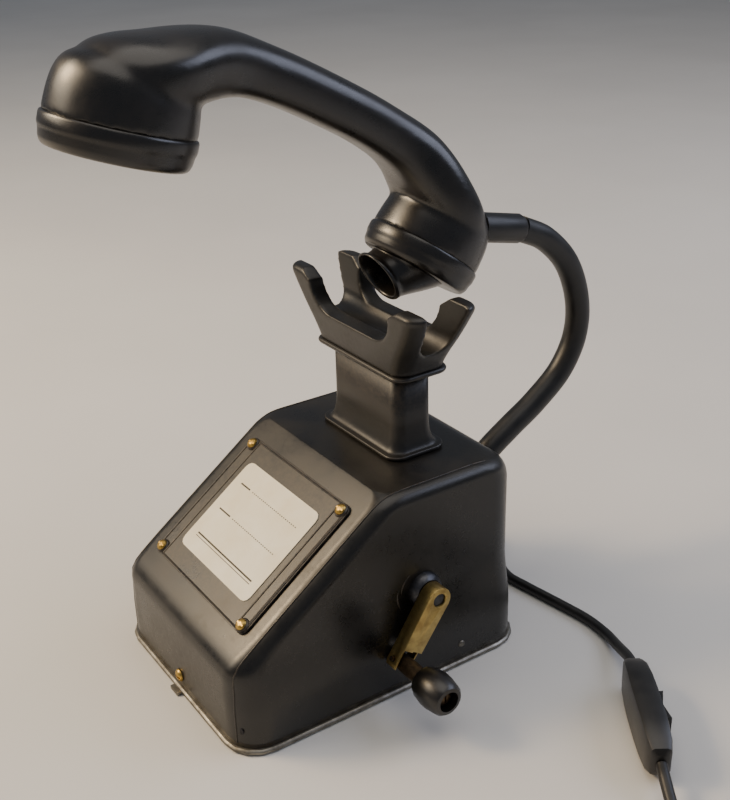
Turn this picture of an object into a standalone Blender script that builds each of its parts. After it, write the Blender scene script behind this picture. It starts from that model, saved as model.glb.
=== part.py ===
"""Desk crank telephone made over into a lamp.

The handset stands above its cradle on a bendable arm and holds a lamp in its ear end. The housing keeps the
telephone's own works: the crank and its generator, the hook switch, the ringer, the speech coil and the
capacitor.

The origin is at the middle of the base on the resting plane. +X is the crank side, -Y the sloping front and
+Z up.
Every size below is in millimetres and is turned to metres where the geometry is made.
"""

import math

import bmesh
import bpy
from mathutils import Matrix, Vector

MM = 0.001
GAP = 0.3  # clearance left between touching pieces

# Base and housing
HOUSE_HALF_X = 65.0
HOUSE_HALF_Y = 82.5
HOUSE_DRAW = 4.0  # how far each side leans in on its way up
HOUSE_TOP_HALF_X = HOUSE_HALF_X - HOUSE_DRAW
BASE_LIP = 2.0  # the base plate's edge beyond the housing
BASE_HALF_X = HOUSE_HALF_X + BASE_LIP
BASE_HALF_Y = HOUSE_HALF_Y + BASE_LIP
BASE_THICK = 3.0
HOUSE_TOP = 106.5
HOUSE_BOTTOM = BASE_THICK + GAP
HOUSE_SHEET = 1.2
WALL_TOP = 43.4  # height where the front wall turns into the slope
SLOPE_BACK_Y = 3.0  # where the slope meets the flat top
TOP_EDGE_R = 6.5
BACK_EDGE_R = 14.0
SLOPE_ANGLE = math.atan2(HOUSE_TOP - WALL_TOP, SLOPE_BACK_Y + HOUSE_HALF_Y)

# Number plate on the slope
PLATE_HALF_X = 46.5
PLATE_HALF_S = 38.5
PLATE_THICK = 1.0
PLATE_MIDDLE = 0.52  # share of the slope's length from its foot
SCREW_HALF_X = 42.2
SCREW_HALF_S = 34.7
CARD_HALF_X = 34.0
CARD_HALF_S = 27.0

# Pedestal and cradle fork
PED_Y = 41.6
PED_FOOT_Z = HOUSE_TOP + GAP
PED_HEIGHT = 45.2
PED_TOP_Z = PED_FOOT_Z + PED_HEIGHT
FORK_BOTTOM_Z = PED_TOP_Z - 3.0
FORK_HEIGHT = 38.0
FORK_TIP_Z = FORK_BOTTOM_Z + FORK_HEIGHT
FORK_TRAVEL = 5.0
PLUNGER_R = 3.5
SPRING_R = PLUNGER_R + 3.9
SPRING_WIRE = 0.8
SPRING_TURNS = 8
PLUNGER_TIP_R = 1.2
PLUNGER_END_Z = PED_FOOT_Z - 22.8

# Handset: its own frame has +Y from the ear end to the mouth end and +Z to its back
HANDSET_Y = -5.8
HANDSET_Z = FORK_TIP_Z + 51.8
HANDSET_PITCH = -28.2  # degrees about X
CAP_SPREAD = 85.5  # each cap's middle from the handset's middle
CUP_R = 31.2
MOUTH_CUP_R = 28.4
CAP_OVERHANG = 0.8  # each cap is this much wider than its cup, all round
CAP_R = CUP_R + CAP_OVERHANG
MOUTH_CAP_R = MOUTH_CUP_R + CAP_OVERHANG
THREAD_DEPTH = 2.8  # from a cup's outside to the thread its cap screws onto
EAR_TILT = 10.8
MOUTH_TILT = -8.8

# Bendable arm
NECK_R = 6.75
BOOT_R = NECK_R + 1.05
BOOT_LENGTH = 27.7
NECK_EXIT_Z = 62.5

# Crank
CRANK_Y = 22.4
CRANK_Z = 51.5
CRANK_SWING = 35.0  # degrees the arm stands forward of straight down
ARM_PIVOT = 35.0
ARM_BACK_X = HOUSE_TOP_HALF_X + 5.2
ARM_FRONT_X = ARM_BACK_X + 7.8
HANDLE_X = ARM_BACK_X + 3.8
SHAFT_R = 3.3

# Generator
GEAR_RATIO = 5
GEAR_R = 25.0
GEAR_TEETH = 40
PINION_R = GEAR_R / GEAR_RATIO
PINION_TEETH = GEAR_TEETH // GEAR_RATIO
ARMATURE_Y = -4.0
ARMATURE_Z = CRANK_Z - math.sqrt((GEAR_R + PINION_R) ** 2 - (CRANK_Y - ARMATURE_Y) ** 2)

# Mains lead
CORD_R = 2.7
CORD_REST_Z = CORD_R + 0.1
GLAND_X = -46.0
GLAND_Z = 12.5
SWITCH_MIDDLE = Vector((156.0, 79.5, 11.4))
SWITCH_DIRECTION = Vector((0.821, -0.571, 0.0)).normalized()
SWITCH_LENGTH = 66.0
COIL_R = 30.0
COIL_TURNS = 7  # whole turns, besides the part turn between where the lead arrives and leaves
COIL_IN = 90.0  # degrees round the coil where the lead arrives on top
COIL_OUT = -33.0  # degrees where it leaves below, clockwise from COIL_IN
COIL_X = 268.0
COIL_Y = 14.0

for thing in list(bpy.data.objects):
    bpy.data.objects.remove(thing, do_unlink=True)

parts = bpy.data.collections.new("crank_telephone_lamp")
cutters = bpy.data.collections.new("cutters")
bpy.context.scene.collection.children.link(parts)
bpy.context.scene.collection.children.link(cutters)
cutters.hide_render = True


def material(name, rgb, metallic, roughness):
    """A Principled material of one colour."""
    made = bpy.data.materials.new(name)
    made.use_nodes = True
    shader = made.node_tree.nodes["Principled BSDF"]
    shader.inputs["Base Color"].default_value = (*rgb, 1.0)
    shader.inputs["Metallic"].default_value = metallic
    shader.inputs["Roughness"].default_value = roughness
    return made


black_lacquer = material("black_lacquer", (0.012, 0.012, 0.013), 0.0, 0.3)
bakelite = material("bakelite", (0.01, 0.009, 0.009), 0.0, 0.22)
base_steel = material("base_steel", (0.32, 0.31, 0.29), 1.0, 0.45)
dark_steel = material("dark_steel", (0.16, 0.16, 0.16), 1.0, 0.5)
brass = material("brass", (0.72, 0.52, 0.24), 1.0, 0.35)
bell_brass = material("bell_brass", (0.62, 0.5, 0.28), 1.0, 0.3)
card_paper = material("card_paper", (0.8, 0.74, 0.55), 0.0, 0.8)
arm_sleeve = material("arm_sleeve", (0.014, 0.014, 0.016), 0.0, 0.45)
lead_rubber = material("lead_rubber", (0.012, 0.012, 0.012), 0.0, 0.5)
black_plastic = material("black_plastic", (0.015, 0.015, 0.015), 0.0, 0.35)
glass = material("glass", (0.85, 0.82, 0.75), 0.0, 0.08)
ceramic = material("ceramic", (0.8, 0.78, 0.74), 0.0, 0.3)
copper = material("copper", (0.55, 0.27, 0.14), 1.0, 0.4)
magnet_iron = material("magnet_iron", (0.1, 0.1, 0.105), 1.0, 0.55)


def place(obj, mat, cutter=False):
    """Put an object in its collection and give it its material."""
    (cutters if cutter else parts).objects.link(obj)
    obj.data.materials.append(mat)
    if cutter:
        obj.display_type = "WIRE"
        obj.hide_render = True
    return obj


def solid(name, points, faces, mat, smooth=False, cutter=False):
    """A mesh object from points in millimetres, with its faces turned outward."""
    mesh = bpy.data.meshes.new(name)
    mesh.from_pydata([Vector(p) * MM for p in points], [], faces)
    work = bmesh.new()
    work.from_mesh(mesh)
    bmesh.ops.recalc_face_normals(work, faces=work.faces)
    work.to_mesh(mesh)
    work.free()
    mesh.shade_smooth() if smooth else mesh.shade_flat()
    return place(bpy.data.objects.new(name, mesh), mat, cutter)


def loft(name, rings, mat, smooth=False, cutter=False, open_start=False):
    """A skin over rings of equally many points, capped at both ends unless the start is left open."""
    count = len(rings[0])
    points = [point for ring in rings for point in ring]
    faces = []
    for level in range(len(rings) - 1):
        for i in range(count):
            j = (i + 1) % count
            faces.append(
                (level * count + i, level * count + j, (level + 1) * count + j, (level + 1) * count + i)
            )
    faces.append(tuple(range((len(rings) - 1) * count, len(rings) * count)))
    if not open_start:
        faces.append(tuple(range(count)))
    return solid(name, points, faces, mat, smooth, cutter)


def rounded_ring(half_x, front, back, front_r, back_r, z, steps=4, side_r=None):
    """A rounded rectangle at height z. front_r is (along x, along y) of the front corners."""
    ring = []
    fx, fy = front_r
    bx, by = back_r
    corners = (
        (half_x - bx, back - by, bx, by, 0),
        (-half_x + bx, back - by, bx, by, 90),
        (-half_x + fx, front + fy, fx, fy, 180),
        (half_x - fx, front + fy, fx, fy, 270),
    )
    for cx, cy, rx, ry, start in corners:
        for step in range(steps + 1):
            angle = math.radians(start + 90 * step / steps)
            ring.append((cx + rx * math.cos(angle), cy + ry * math.sin(angle), z))
    return ring


def block(name, low, high, mat, bevel=0.0, cutter=False):
    """A box between two corners."""
    x0, y0, z0 = low
    x1, y1, z1 = high
    points = [(x0, y0, z0), (x1, y0, z0), (x1, y1, z0), (x0, y1, z0)]
    points += [(x, y, z1) for x, y, z in points]
    faces = [(0, 1, 2, 3), (4, 5, 6, 7), (0, 1, 5, 4), (1, 2, 6, 5), (2, 3, 7, 6), (3, 0, 4, 7)]
    made = solid(name, points, faces, mat, cutter=cutter)
    if bevel:
        edge = made.modifiers.new("rounded_edges", "BEVEL")
        edge.width = bevel * MM
        edge.segments = 1
    return made


def turned(name, profile, mat, foot, axis=(0, 0, 1), steps=20, cutter=False, smooth=True):
    """A profile of (radius, height) turned about an axis that starts at foot.

    The profile runs down the outer side from the top, and for a solid piece starts and ends on the axis.
    """
    mesh = bpy.data.meshes.new(name)
    points = [(r * MM, 0.0, h * MM) for r, h in profile]
    edges = [(i, i + 1) for i in range(len(points) - 1)]
    on_axis = profile[0][0] == 0 and profile[-1][0] == 0
    if not on_axis:
        edges.append((len(points) - 1, 0))
    mesh.from_pydata(points, edges, [])
    made = place(bpy.data.objects.new(name, mesh), mat, cutter)
    made.location = Vector(foot) * MM
    made.rotation_euler = Vector((0, 0, 1)).rotation_difference(Vector(axis)).to_euler()
    screw = made.modifiers.new("turn", "SCREW")
    screw.steps = steps
    screw.render_steps = steps
    screw.use_merge_vertices = True
    screw.merge_threshold = 0.00005
    screw.use_smooth_shade = smooth
    return made


def rod(name, radius, start, end, mat, steps=16, cutter=False):
    """A plain round bar from one point to another."""
    start = Vector(start)
    along = Vector(end) - start
    length = along.length
    return turned(
        name, [(0, length), (radius, length), (radius, 0), (0, 0)], mat, start, along, steps, cutter
    )


def extrusion(name, outline, axis, start, length, mat, cutter=False, origin=(0, 0, 0)):
    """A flat outline pushed along X or Y. Outline points are (y, z) for X and (x, z) for Y."""
    ox, oy, oz = origin
    rings = []
    for along in (start, start + length):
        if axis == "X":
            rings.append([(ox + along, oy + a, oz + b) for a, b in outline])
        else:
            rings.append([(ox + a, oy + along, oz + b) for a, b in outline])
    return loft(name, rings, mat, cutter=cutter)


def boolean(obj, tool, operation="DIFFERENCE"):
    """Cut or join with a hidden tool."""
    step = obj.modifiers.new(operation.lower() + "_" + tool.name, "BOOLEAN")
    step.operation = operation
    step.solver = "EXACT"
    step.object = tool
    return obj


def tube(name, points, radius, mat, radii=None, resolution=3):
    """A round tube through points in millimetres, with filled ends."""
    curve = bpy.data.curves.new(name, "CURVE")
    curve.dimensions = "3D"
    curve.bevel_depth = radius * MM
    curve.bevel_resolution = resolution
    curve.use_fill_caps = True
    spline = curve.splines.new("POLY")
    spline.points.add(len(points) - 1)
    for i, (dot, point) in enumerate(zip(spline.points, points)):
        dot.co = (*(Vector(point) * MM), 1.0)
        if radii:
            dot.radius = radii[i]
    spline.use_smooth = True
    return place(bpy.data.objects.new(name, curve), mat)


def smooth_path(knots, per_span):
    """Points on a smooth curve through the knots."""
    knots = [Vector(k) for k in knots]
    knots = [2 * knots[0] - knots[1]] + knots + [2 * knots[-1] - knots[-2]]
    path = []
    for i in range(1, len(knots) - 2):
        a, b, c, d = knots[i - 1 : i + 3]
        for step in range(per_span):
            t = step / per_span
            path.append(
                0.5 * (
                    2 * b + (c - a) * t + (2 * a - 5 * b + 4 * c - d) * t**2 + (3 * b - a - 3 * c + d) * t**3
                )
            )
    path.append(knots[-2])
    return path


def stretch(path, start, end, pitch):
    """Evenly spaced points along a path between two distances from its start."""
    distances = [0.0]
    for a, b in zip(path, path[1:]):
        distances.append(distances[-1] + (b - a).length)
    count = max(2, round((end - start) / pitch) + 1)
    found = []
    for step in range(count):
        wanted = start + (end - start) * step / (count - 1)
        i = 0
        while i < len(path) - 2 and distances[i + 1] < wanted:
            i += 1
        span = distances[i + 1] - distances[i]
        found.append(path[i].lerp(path[i + 1], (wanted - distances[i]) / span))
    return found


def rested(path):
    """The path with no point lower than a lead lying on the floor."""
    return [Vector((p.x, p.y, max(p.z, CORD_REST_Z))) for p in path]


def path_length(path):
    return sum((b - a).length for a, b in zip(path, path[1:]))


def joint_at(name, location, rotation=(0, 0, 0)):
    """An empty on a joint's axis, which the moving pieces hang from."""
    empty = bpy.data.objects.new(name, None)
    empty.empty_display_size = 0.01
    empty.location = Vector(location) * MM
    empty.rotation_euler = rotation
    parts.objects.link(empty)
    return empty


def hang(empty, *pieces):
    """Parent pieces to an empty and leave them where they are."""
    bpy.context.view_layer.update()
    for piece in pieces:
        piece.parent = empty
        piece.matrix_parent_inverse = empty.matrix_world.inverted()


# ---------------------------------------------------------------- base and housing


def plan_ring(half_x, half_y, radius, z):
    return rounded_ring(half_x, -half_y, half_y, (radius, radius), (radius, radius), z)


base_plate = loft(
    "base_plate",
    [
        plan_ring(BASE_HALF_X - 1.2, BASE_HALF_Y - 1.2, 17, 0),
        plan_ring(BASE_HALF_X, BASE_HALF_Y, 18, 1.0),
        plan_ring(BASE_HALF_X, BASE_HALF_Y, 18, 2.2),
        plan_ring(BASE_HALF_X - 1.0, BASE_HALF_Y - 1.0, 17, BASE_THICK),
    ],
    base_steel,
)
latch_tab = block(
    "latch_tab", (-4, -BASE_HALF_Y - 2.4, 0.2), (4, -BASE_HALF_Y + 4, 2.0), base_steel, cutter=True
)
boolean(base_plate, latch_tab, "UNION")


def ease(low, high, t):
    """0 below low, 1 above high, smooth between."""
    t = min(1.0, max(0.0, (t - low) / (high - low)))
    return t * t * (3 - 2 * t)


def housing_ring(z, grow=0.0):
    """The housing's outline at a height: wide foot, drawn-in sides, sloping front, rounded top edges."""
    side = ease(20, 52, z)
    half_x = HOUSE_HALF_X + (HOUSE_TOP_HALF_X - HOUSE_HALF_X) * side
    up = z - (HOUSE_TOP - TOP_EDGE_R)
    if up > 0:
        half_x -= TOP_EDGE_R - math.sqrt(max(0.0, TOP_EDGE_R**2 - up**2))
    back = HOUSE_HALF_Y
    up = z - (HOUSE_TOP - BACK_EDGE_R)
    if up > 0:
        back -= BACK_EDGE_R - math.sqrt(max(0.0, BACK_EDGE_R**2 - up**2))
    front = -HOUSE_HALF_Y
    if z > WALL_TOP:
        front += (z - WALL_TOP) / math.tan(SLOPE_ANGLE)
    turn = ease(WALL_TOP - 16, WALL_TOP + 14, z)
    front_x = 17 + (9 - 17) * turn
    front_y = 17 + (13 - 17) * turn
    return rounded_ring(half_x + grow, front - grow, back + grow, (front_x, front_y), (16, 16), z)


HOUSING_LEVELS = (
    HOUSE_BOTTOM, 20, 28, 36, 41, 43.4, 46, 52, 66, 82, 92.5, 97, 100, 103, 105, 106.1, HOUSE_TOP,
)  # fmt: skip
housing = loft(
    "housing", [housing_ring(z) for z in HOUSING_LEVELS], black_lacquer, open_start=True, smooth=True
)
shell = housing.modifiers.new("sheet", "SOLIDIFY")
shell.thickness = HOUSE_SHEET * MM
shell.offset = -1.0

side_in = HOUSE_TOP_HALF_X - 11
side_out = HOUSE_TOP_HALF_X + 14
rear_in = HOUSE_HALF_Y - 6.5
rear_out = HOUSE_HALF_Y + 9.5


def housing_hole(name, radius, start, end):
    return rod(name, radius, start, end, black_lacquer, cutter=True)


crank_hole = housing_hole(
    "crank_hole", SHAFT_R + 6.2, (side_in, CRANK_Y, CRANK_Z), (side_out, CRANK_Y, CRANK_Z)
)
plunger_hole = housing_hole(
    "plunger_hole", PLUNGER_R + 1.1, (0, PED_Y, HOUSE_TOP - 8.5), (0, PED_Y, HOUSE_TOP + 5.5)
)
neck_hole = housing_hole("neck_hole", 5.3, (0, rear_in, NECK_EXIT_Z), (0, rear_out, NECK_EXIT_Z))
gland_hole = housing_hole("gland_hole", 4.3, (GLAND_X, rear_in, GLAND_Z), (GLAND_X, rear_out, GLAND_Z))
for hole in (crank_hole, plunger_hole, neck_hole, gland_hole):
    boolean(housing, hole)


def slotted_screw(name, head_r, head_h, shank_r, shank, foot, axis, mat, slot=0.9):
    """A round-head screw with a slot across it. The foot is the underside of the head."""
    profile = [
        (0, head_h),
        (head_r * 0.45, head_h * 0.93),
        (head_r * 0.8, head_h * 0.62),
        (head_r, head_h * 0.12),
        (head_r, 0),
        (shank_r, 0),
        (shank_r, -shank),
        (0, -shank),
    ]
    screw = turned(name, profile, mat, foot, axis, 14)
    cut = block(
        name + "_slot",
        (-head_r - 1, -slot / 2, head_h * 0.55),
        (head_r + 1, slot / 2, head_h + 1),
        mat,
        cutter=True,
    )
    cut.location = screw.location
    cut.rotation_euler = screw.rotation_euler
    return boolean(screw, cut)


# ---------------------------------------------------------------- number plate

slope_up = Vector((0, math.cos(SLOPE_ANGLE), math.sin(SLOPE_ANGLE)))
slope_out = Vector((0, -math.sin(SLOPE_ANGLE), math.cos(SLOPE_ANGLE)))
slope_length = (SLOPE_BACK_Y + HOUSE_HALF_Y) / math.cos(SLOPE_ANGLE)
slope_foot = Vector((0, -HOUSE_HALF_Y, WALL_TOP))
plate_middle = slope_foot + slope_up * slope_length * PLATE_MIDDLE + slope_out * GAP


def on_slope(obj, lift=0.0):
    """Lay an object made flat on XY onto the slope, centred on the number plate."""
    obj.location = (plate_middle + slope_out * lift) * MM
    obj.rotation_euler = (SLOPE_ANGLE, 0, 0)
    return obj


number_plate = on_slope(
    loft(
        "number_plate",
        [
            rounded_ring(PLATE_HALF_X, -PLATE_HALF_S, PLATE_HALF_S, (4, 4), (4, 4), 0, 3),
            rounded_ring(PLATE_HALF_X, -PLATE_HALF_S, PLATE_HALF_S, (4, 4), (4, 4), PLATE_THICK, 3),
        ],
        black_lacquer,
    )
)
RAIL_X = 38.6
for side in (-1, 1):
    low = min(side * RAIL_X, side * (PLATE_HALF_X - 0.6))
    high = max(side * RAIL_X, side * (PLATE_HALF_X - 0.6))
    rail = block(
        f"plate_rail_{side + 2}",
        (low, -PLATE_HALF_S + 0.6, 0.4),
        (high, PLATE_HALF_S - 0.6, PLATE_THICK + 0.9),
        black_lacquer,
        cutter=True,
    )
    boolean(number_plate, on_slope(rail), "UNION")
for index, (sx, sy) in enumerate(((-1, -1), (1, -1), (-1, 1), (1, 1)), 1):
    spot = plate_middle + Vector((sx * SCREW_HALF_X, 0, 0)) + slope_up * sy * SCREW_HALF_S
    through = spot - slope_out * 6
    plate_hole = rod(
        f"plate_hole_{index}", 1.5, through, spot + slope_out * 6, black_lacquer, 10, cutter=True
    )
    boolean(number_plate, plate_hole)
    boolean(housing, plate_hole)
    seat = spot + slope_out * (PLATE_THICK + 0.9 + GAP)
    slotted_screw(f"plate_screw_{index}", 3.0, 1.7, 1.2, 4.6, seat, slope_out, brass)

number_card = on_slope(
    loft(
        "number_card",
        [
            rounded_ring(CARD_HALF_X, -CARD_HALF_S, CARD_HALF_S, (4, 4), (4, 4), 0, 3),
            rounded_ring(CARD_HALF_X, -CARD_HALF_S, CARD_HALF_S, (4, 4), (4, 4), 0.4, 3),
        ],
        card_paper,
    ),
    PLATE_THICK + 0.05,
)

latch_hole = rod("latch_hole", 1.9, (0, -90, 9), (0, -76, 9), black_lacquer, 12, cutter=True)
boolean(housing, latch_hole)
slotted_screw("latch_screw", 3.4, 1.9, 1.6, 6.0, (0, -HOUSE_HALF_Y - GAP, 9), (0, -1, 0), brass)

# ---------------------------------------------------------------- pedestal and cradle fork


def fork_ring(half_x, half_y, radius, z):
    return rounded_ring(half_x, PED_Y - half_y, PED_Y + half_y, (radius, radius), (radius, radius), z, 3)


pedestal = loft(
    "pedestal",
    [
        fork_ring(34, 17, 8, PED_FOOT_Z),
        fork_ring(34, 17, 8, PED_FOOT_Z + 1.8),
        fork_ring(33.2, 16.2, 7.5, PED_FOOT_Z + 2.6),
        fork_ring(31.6, 13.6, 7, PED_FOOT_Z + 4.5),
        fork_ring(30.4, 12.2, 6.5, PED_FOOT_Z + 8.5),
        fork_ring(29.6, 11.3, 6, PED_FOOT_Z + 16),
        fork_ring(29, 11, 6, PED_TOP_Z),
    ],
    black_lacquer,
)
boolean(
    pedestal,
    rod(
        "spring_well",
        SPRING_R + 2.2,
        (0, PED_Y, PED_FOOT_Z - 7),
        (0, PED_Y, PED_TOP_Z + 8),
        black_lacquer,
        20,
        cutter=True,
    ),
)

RECESS_TOP_Z = FORK_BOTTOM_Z + 10
cradle_fork = loft(
    "cradle_fork",
    [
        fork_ring(35, 13.8, 7, FORK_BOTTOM_Z),
        fork_ring(37, 15.2, 8, FORK_BOTTOM_Z + 1.8),
        fork_ring(38, 16, 8.5, FORK_BOTTOM_Z + 8),
        fork_ring(39.5, 17, 9, FORK_BOTTOM_Z + 16),
        fork_ring(42, 18, 9, FORK_BOTTOM_Z + 23),
        fork_ring(45.6, 18.6, 8.5, FORK_BOTTOM_Z + 30),
        fork_ring(49, 19, 8, FORK_TIP_Z - 2.5),
        fork_ring(49.2, 18.4, 7, FORK_TIP_Z - 0.6),
        fork_ring(48, 17, 6, FORK_TIP_Z),
    ],
    black_lacquer,
)


def valley(half_bottom, half_top, bottom_z, top_z, radius, steps=4):
    """The outline of a rounded valley that opens upward."""
    points = [(-half_top, top_z)]
    for step in range(steps + 1):
        angle = math.radians(180 + 90 * step / steps)
        points.append(
            (-half_bottom + radius + radius * math.cos(angle), bottom_z + radius + radius * math.sin(angle))
        )
    points += [(-a, b) for a, b in reversed(points[1:])]
    points.append((half_top, top_z))
    return points


side_valley = extrusion(
    "side_valley",
    valley(29, 42, FORK_BOTTOM_Z + 19.5, FORK_TIP_Z + 2, 9),
    "Y",
    PED_Y - 30,
    60,
    black_lacquer,
    cutter=True,
)
grip_valley = extrusion(
    "grip_valley",
    [(PED_Y + a, b) for a, b in valley(9.5, 13.5, FORK_BOTTOM_Z + 14.5, FORK_TIP_Z + 2, 9)],
    "X", -60, 120, black_lacquer, cutter=True,
)  # fmt: skip
recess = loft(
    "fork_recess",
    [fork_ring(30, 12, 6, z) for z in (FORK_BOTTOM_Z - 2, RECESS_TOP_Z)],
    black_lacquer,
    cutter=True,
)
for tool in (side_valley, grip_valley, recess):
    boolean(cradle_fork, tool)

plunger_length = RECESS_TOP_Z - GAP - PLUNGER_END_Z
hook_plunger = turned(
    "hook_plunger",
    [
        (0, plunger_length),
        (PLUNGER_R, plunger_length),
        (PLUNGER_R, 9),
        (PLUNGER_TIP_R, 7),
        (PLUNGER_TIP_R, 0),
        (0, 0),
    ],
    dark_steel,
    (0, PED_Y, PLUNGER_END_Z),
    (0, 0, 1),
    12,
)

spring_low = PED_FOOT_Z + SPRING_WIRE
spring_high = RECESS_TOP_Z - GAP - SPRING_WIRE
spring_points = []
for step in range(SPRING_TURNS * 9 + 1):
    angle = 2 * math.pi * step / 9
    rise = step / (SPRING_TURNS * 9)
    spring_points.append(
        (
            SPRING_R * math.cos(angle),
            PED_Y + SPRING_R * math.sin(angle),
            spring_low + (spring_high - spring_low) * rise,
        )
    )
tube("return_spring", spring_points, SPRING_WIRE, dark_steel, resolution=0)

fork_slide = joint_at("fork_slide_axis", (0, PED_Y, FORK_BOTTOM_Z))
hang(fork_slide, cradle_fork, hook_plunger)

# ---------------------------------------------------------------- hook switch

BLADE_PIVOT_Y = 61.0
BLADE_Z = PLUNGER_END_Z - 0.9
SHELF_Z = BLADE_Z - 9.1
hook_bracket = block("hook_bracket", (-13, 64.5, BASE_THICK + GAP), (13, 67, SHELF_Z), dark_steel)
shelf = block("bracket_shelf", (-13, 46, SHELF_Z - 2.5), (13, 66, SHELF_Z), dark_steel, cutter=True)
boolean(hook_bracket, shelf, "UNION")
contact_springs = block("contact_springs", (-9, 53, SHELF_Z + GAP), (9, 66, SHELF_Z + 2.6), bakelite)
fixed_blade = block("fixed_blade", (-4, 32, SHELF_Z + 0.7), (4, 58, SHELF_Z + 1.3), brass, cutter=True)
boolean(contact_springs, fixed_blade, "UNION")
stand = block("blade_stand", (-9, 59.5, SHELF_Z + 2), (9, 66, SHELF_Z + 6.9), bakelite, cutter=True)
boolean(contact_springs, stand, "UNION")
hook_blade = block("hook_blade", (-4, 34, BLADE_Z - 0.3), (4, BLADE_PIVOT_Y + 2, BLADE_Z + 0.3), brass)
blade_root = rod(
    "blade_root",
    1.5,
    (-7, BLADE_PIVOT_Y, BLADE_Z - 0.3),
    (7, BLADE_PIVOT_Y, BLADE_Z - 0.3),
    brass,
    10,
    cutter=True,
)
boolean(hook_blade, blade_root, "UNION")
hang(joint_at("hook_blade_axis", (0, BLADE_PIVOT_Y, BLADE_Z)), hook_blade)

# ---------------------------------------------------------------- handset

handset_turn = Matrix.Rotation(math.radians(HANDSET_PITCH), 4, "X")
handset_frame = Matrix.Translation(Vector((0, HANDSET_Y, HANDSET_Z))) @ handset_turn


def in_handset(point):
    """A point of the handset's own frame, in millimetres in the shared frame."""
    return handset_frame @ Vector(point)


def along_handset(direction):
    return (handset_turn @ Vector(direction)).normalized()


ear_seat = Vector((0, -CAP_SPREAD, 0))
ear_axis = Vector((0, -math.sin(math.radians(EAR_TILT)), math.cos(math.radians(EAR_TILT))))
mouth_seat = Vector((0, CAP_SPREAD - 1.0, 0))
mouth_axis = Vector((0, -math.sin(math.radians(MOUTH_TILT)), math.cos(math.radians(MOUTH_TILT))))

CUP_HEIGHT = 37.0


def cup_profile(radius):
    """Half the section of a cup: straight sides and a low round back."""
    shares = ((0.3, 0.98), (0.55, 0.9), (0.76, 0.76), (0.9, 0.57), (0.965, 0.38), (0.99, 0.19), (1.0, 0.0))
    return [(0, CUP_HEIGHT)] + [(radius * a, CUP_HEIGHT * b) for a, b in shares] + [(0, 0)]


def turned_on(name, profile, mat, seat, axis, steps=24, cutter=False):
    """A turned piece on one of the handset's two cap axes. Heights run to the handset's back."""
    return turned(name, profile, mat, in_handset(seat), along_handset(axis), steps, cutter)


GRIP = (
    # place along the handset, height of the middle, half width, half thickness
    (-86, 22, 25, 14),
    (-73, 29.5, 22.5, 15.5),
    (-62, 36, 19, 14.4),
    (-52, 40.2, 16.2, 13),
    (-40, 43, 14.4, 11.8),
    (-22, 44.8, 13.2, 11.2),
    (0, 45.3, 13, 11.1),
    (22, 45.0, 13.2, 11.2),
    (40, 43.2, 14.4, 11.8),
    (52, 40.4, 16.2, 13),
    (62, 36, 18.6, 14.4),
    (73, 29, 20.5, 15.2),
    (86, 21, 21.5, 13.5),
)


def grip_ring(along, height, half_width, half_thick, steps=14):
    """A cross-section of the grip: round on the back, flatter underneath."""
    ring = []
    for step in range(steps):
        angle = 2 * math.pi * (step + 0.5) / steps
        c, s = math.cos(angle), math.sin(angle)
        power = 2 / 2.2 if s > 0 else 2 / 3.2
        x = math.copysign(abs(c) ** power, c) * half_width
        n = math.copysign(abs(s) ** power, s) * half_thick
        ring.append(tuple(in_handset((x, along, height + n))))
    return ring


handset_body = turned_on("handset_body", cup_profile(CUP_R), bakelite, ear_seat, ear_axis)
mouth_cup = turned_on("mouth_cup", cup_profile(MOUTH_CUP_R), bakelite, mouth_seat, mouth_axis, cutter=True)
grip = loft("grip", [grip_ring(*row) for row in GRIP], bakelite, cutter=True)
ear_cavity = turned_on(
    "ear_cavity",
    [(0, 24.5), (CUP_R - 14.2, 24.5), (CUP_R - 6.2, 18), (CUP_R - 3.6, -2), (0, -2)],
    bakelite,
    ear_seat,
    ear_axis,
    cutter=True,
)
mouth_cavity = turned_on(
    "mouth_cavity",
    [
        (0, 16),
        (MOUTH_CUP_R - 6.4, 16),
        (MOUTH_CUP_R - THREAD_DEPTH, 10),
        (MOUTH_CUP_R - THREAD_DEPTH, -2),
        (0, -2),
    ],
    bakelite,
    mouth_seat,
    mouth_axis,
    cutter=True,
)
boolean(handset_body, grip, "UNION")
boolean(handset_body, mouth_cup, "UNION")
boolean(handset_body, ear_cavity)
boolean(handset_body, mouth_cavity)

ear_cap = turned_on(
    "ear_cap",
    [
        (CUP_R - THREAD_DEPTH, -GAP),
        (CAP_R - 0.8, -GAP),
        (CAP_R, -1.6),
        (CAP_R, -4),
        (CAP_R - 1.2, -9.5),
        (CAP_R - 3.2, -12.6),
        (CUP_R - 5.2, -12.6),
        (CUP_R - 5.8, -11.2),
        (CUP_R - THREAD_DEPTH, -9.4),
    ],
    bakelite,
    ear_seat,
    ear_axis,
)
lamp_holder = turned_on(
    "lamp_holder",
    [(0, 23.6), (12, 23.6), (12.5, 22.9), (12.5, 12.5), (0, 12.5)],
    ceramic,
    ear_seat,
    ear_axis,
    16,
)
BULB_R = CUP_R - 6.4
bulb = turned_on(
    "bulb",
    [
        (0, 12.2),
        (8.5, 12.2),
        (10, 8),
        (13, 3.4),
        (BULB_R - 5.8, -3),
        (BULB_R - 0.6, -8),
        (BULB_R, -9.4),
        (BULB_R - 0.8, -10.8),
        (BULB_R / 2, -11.6),
        (0, -11.9),
    ],
    glass,
    ear_seat,
    ear_axis,
    20,
)
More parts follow.
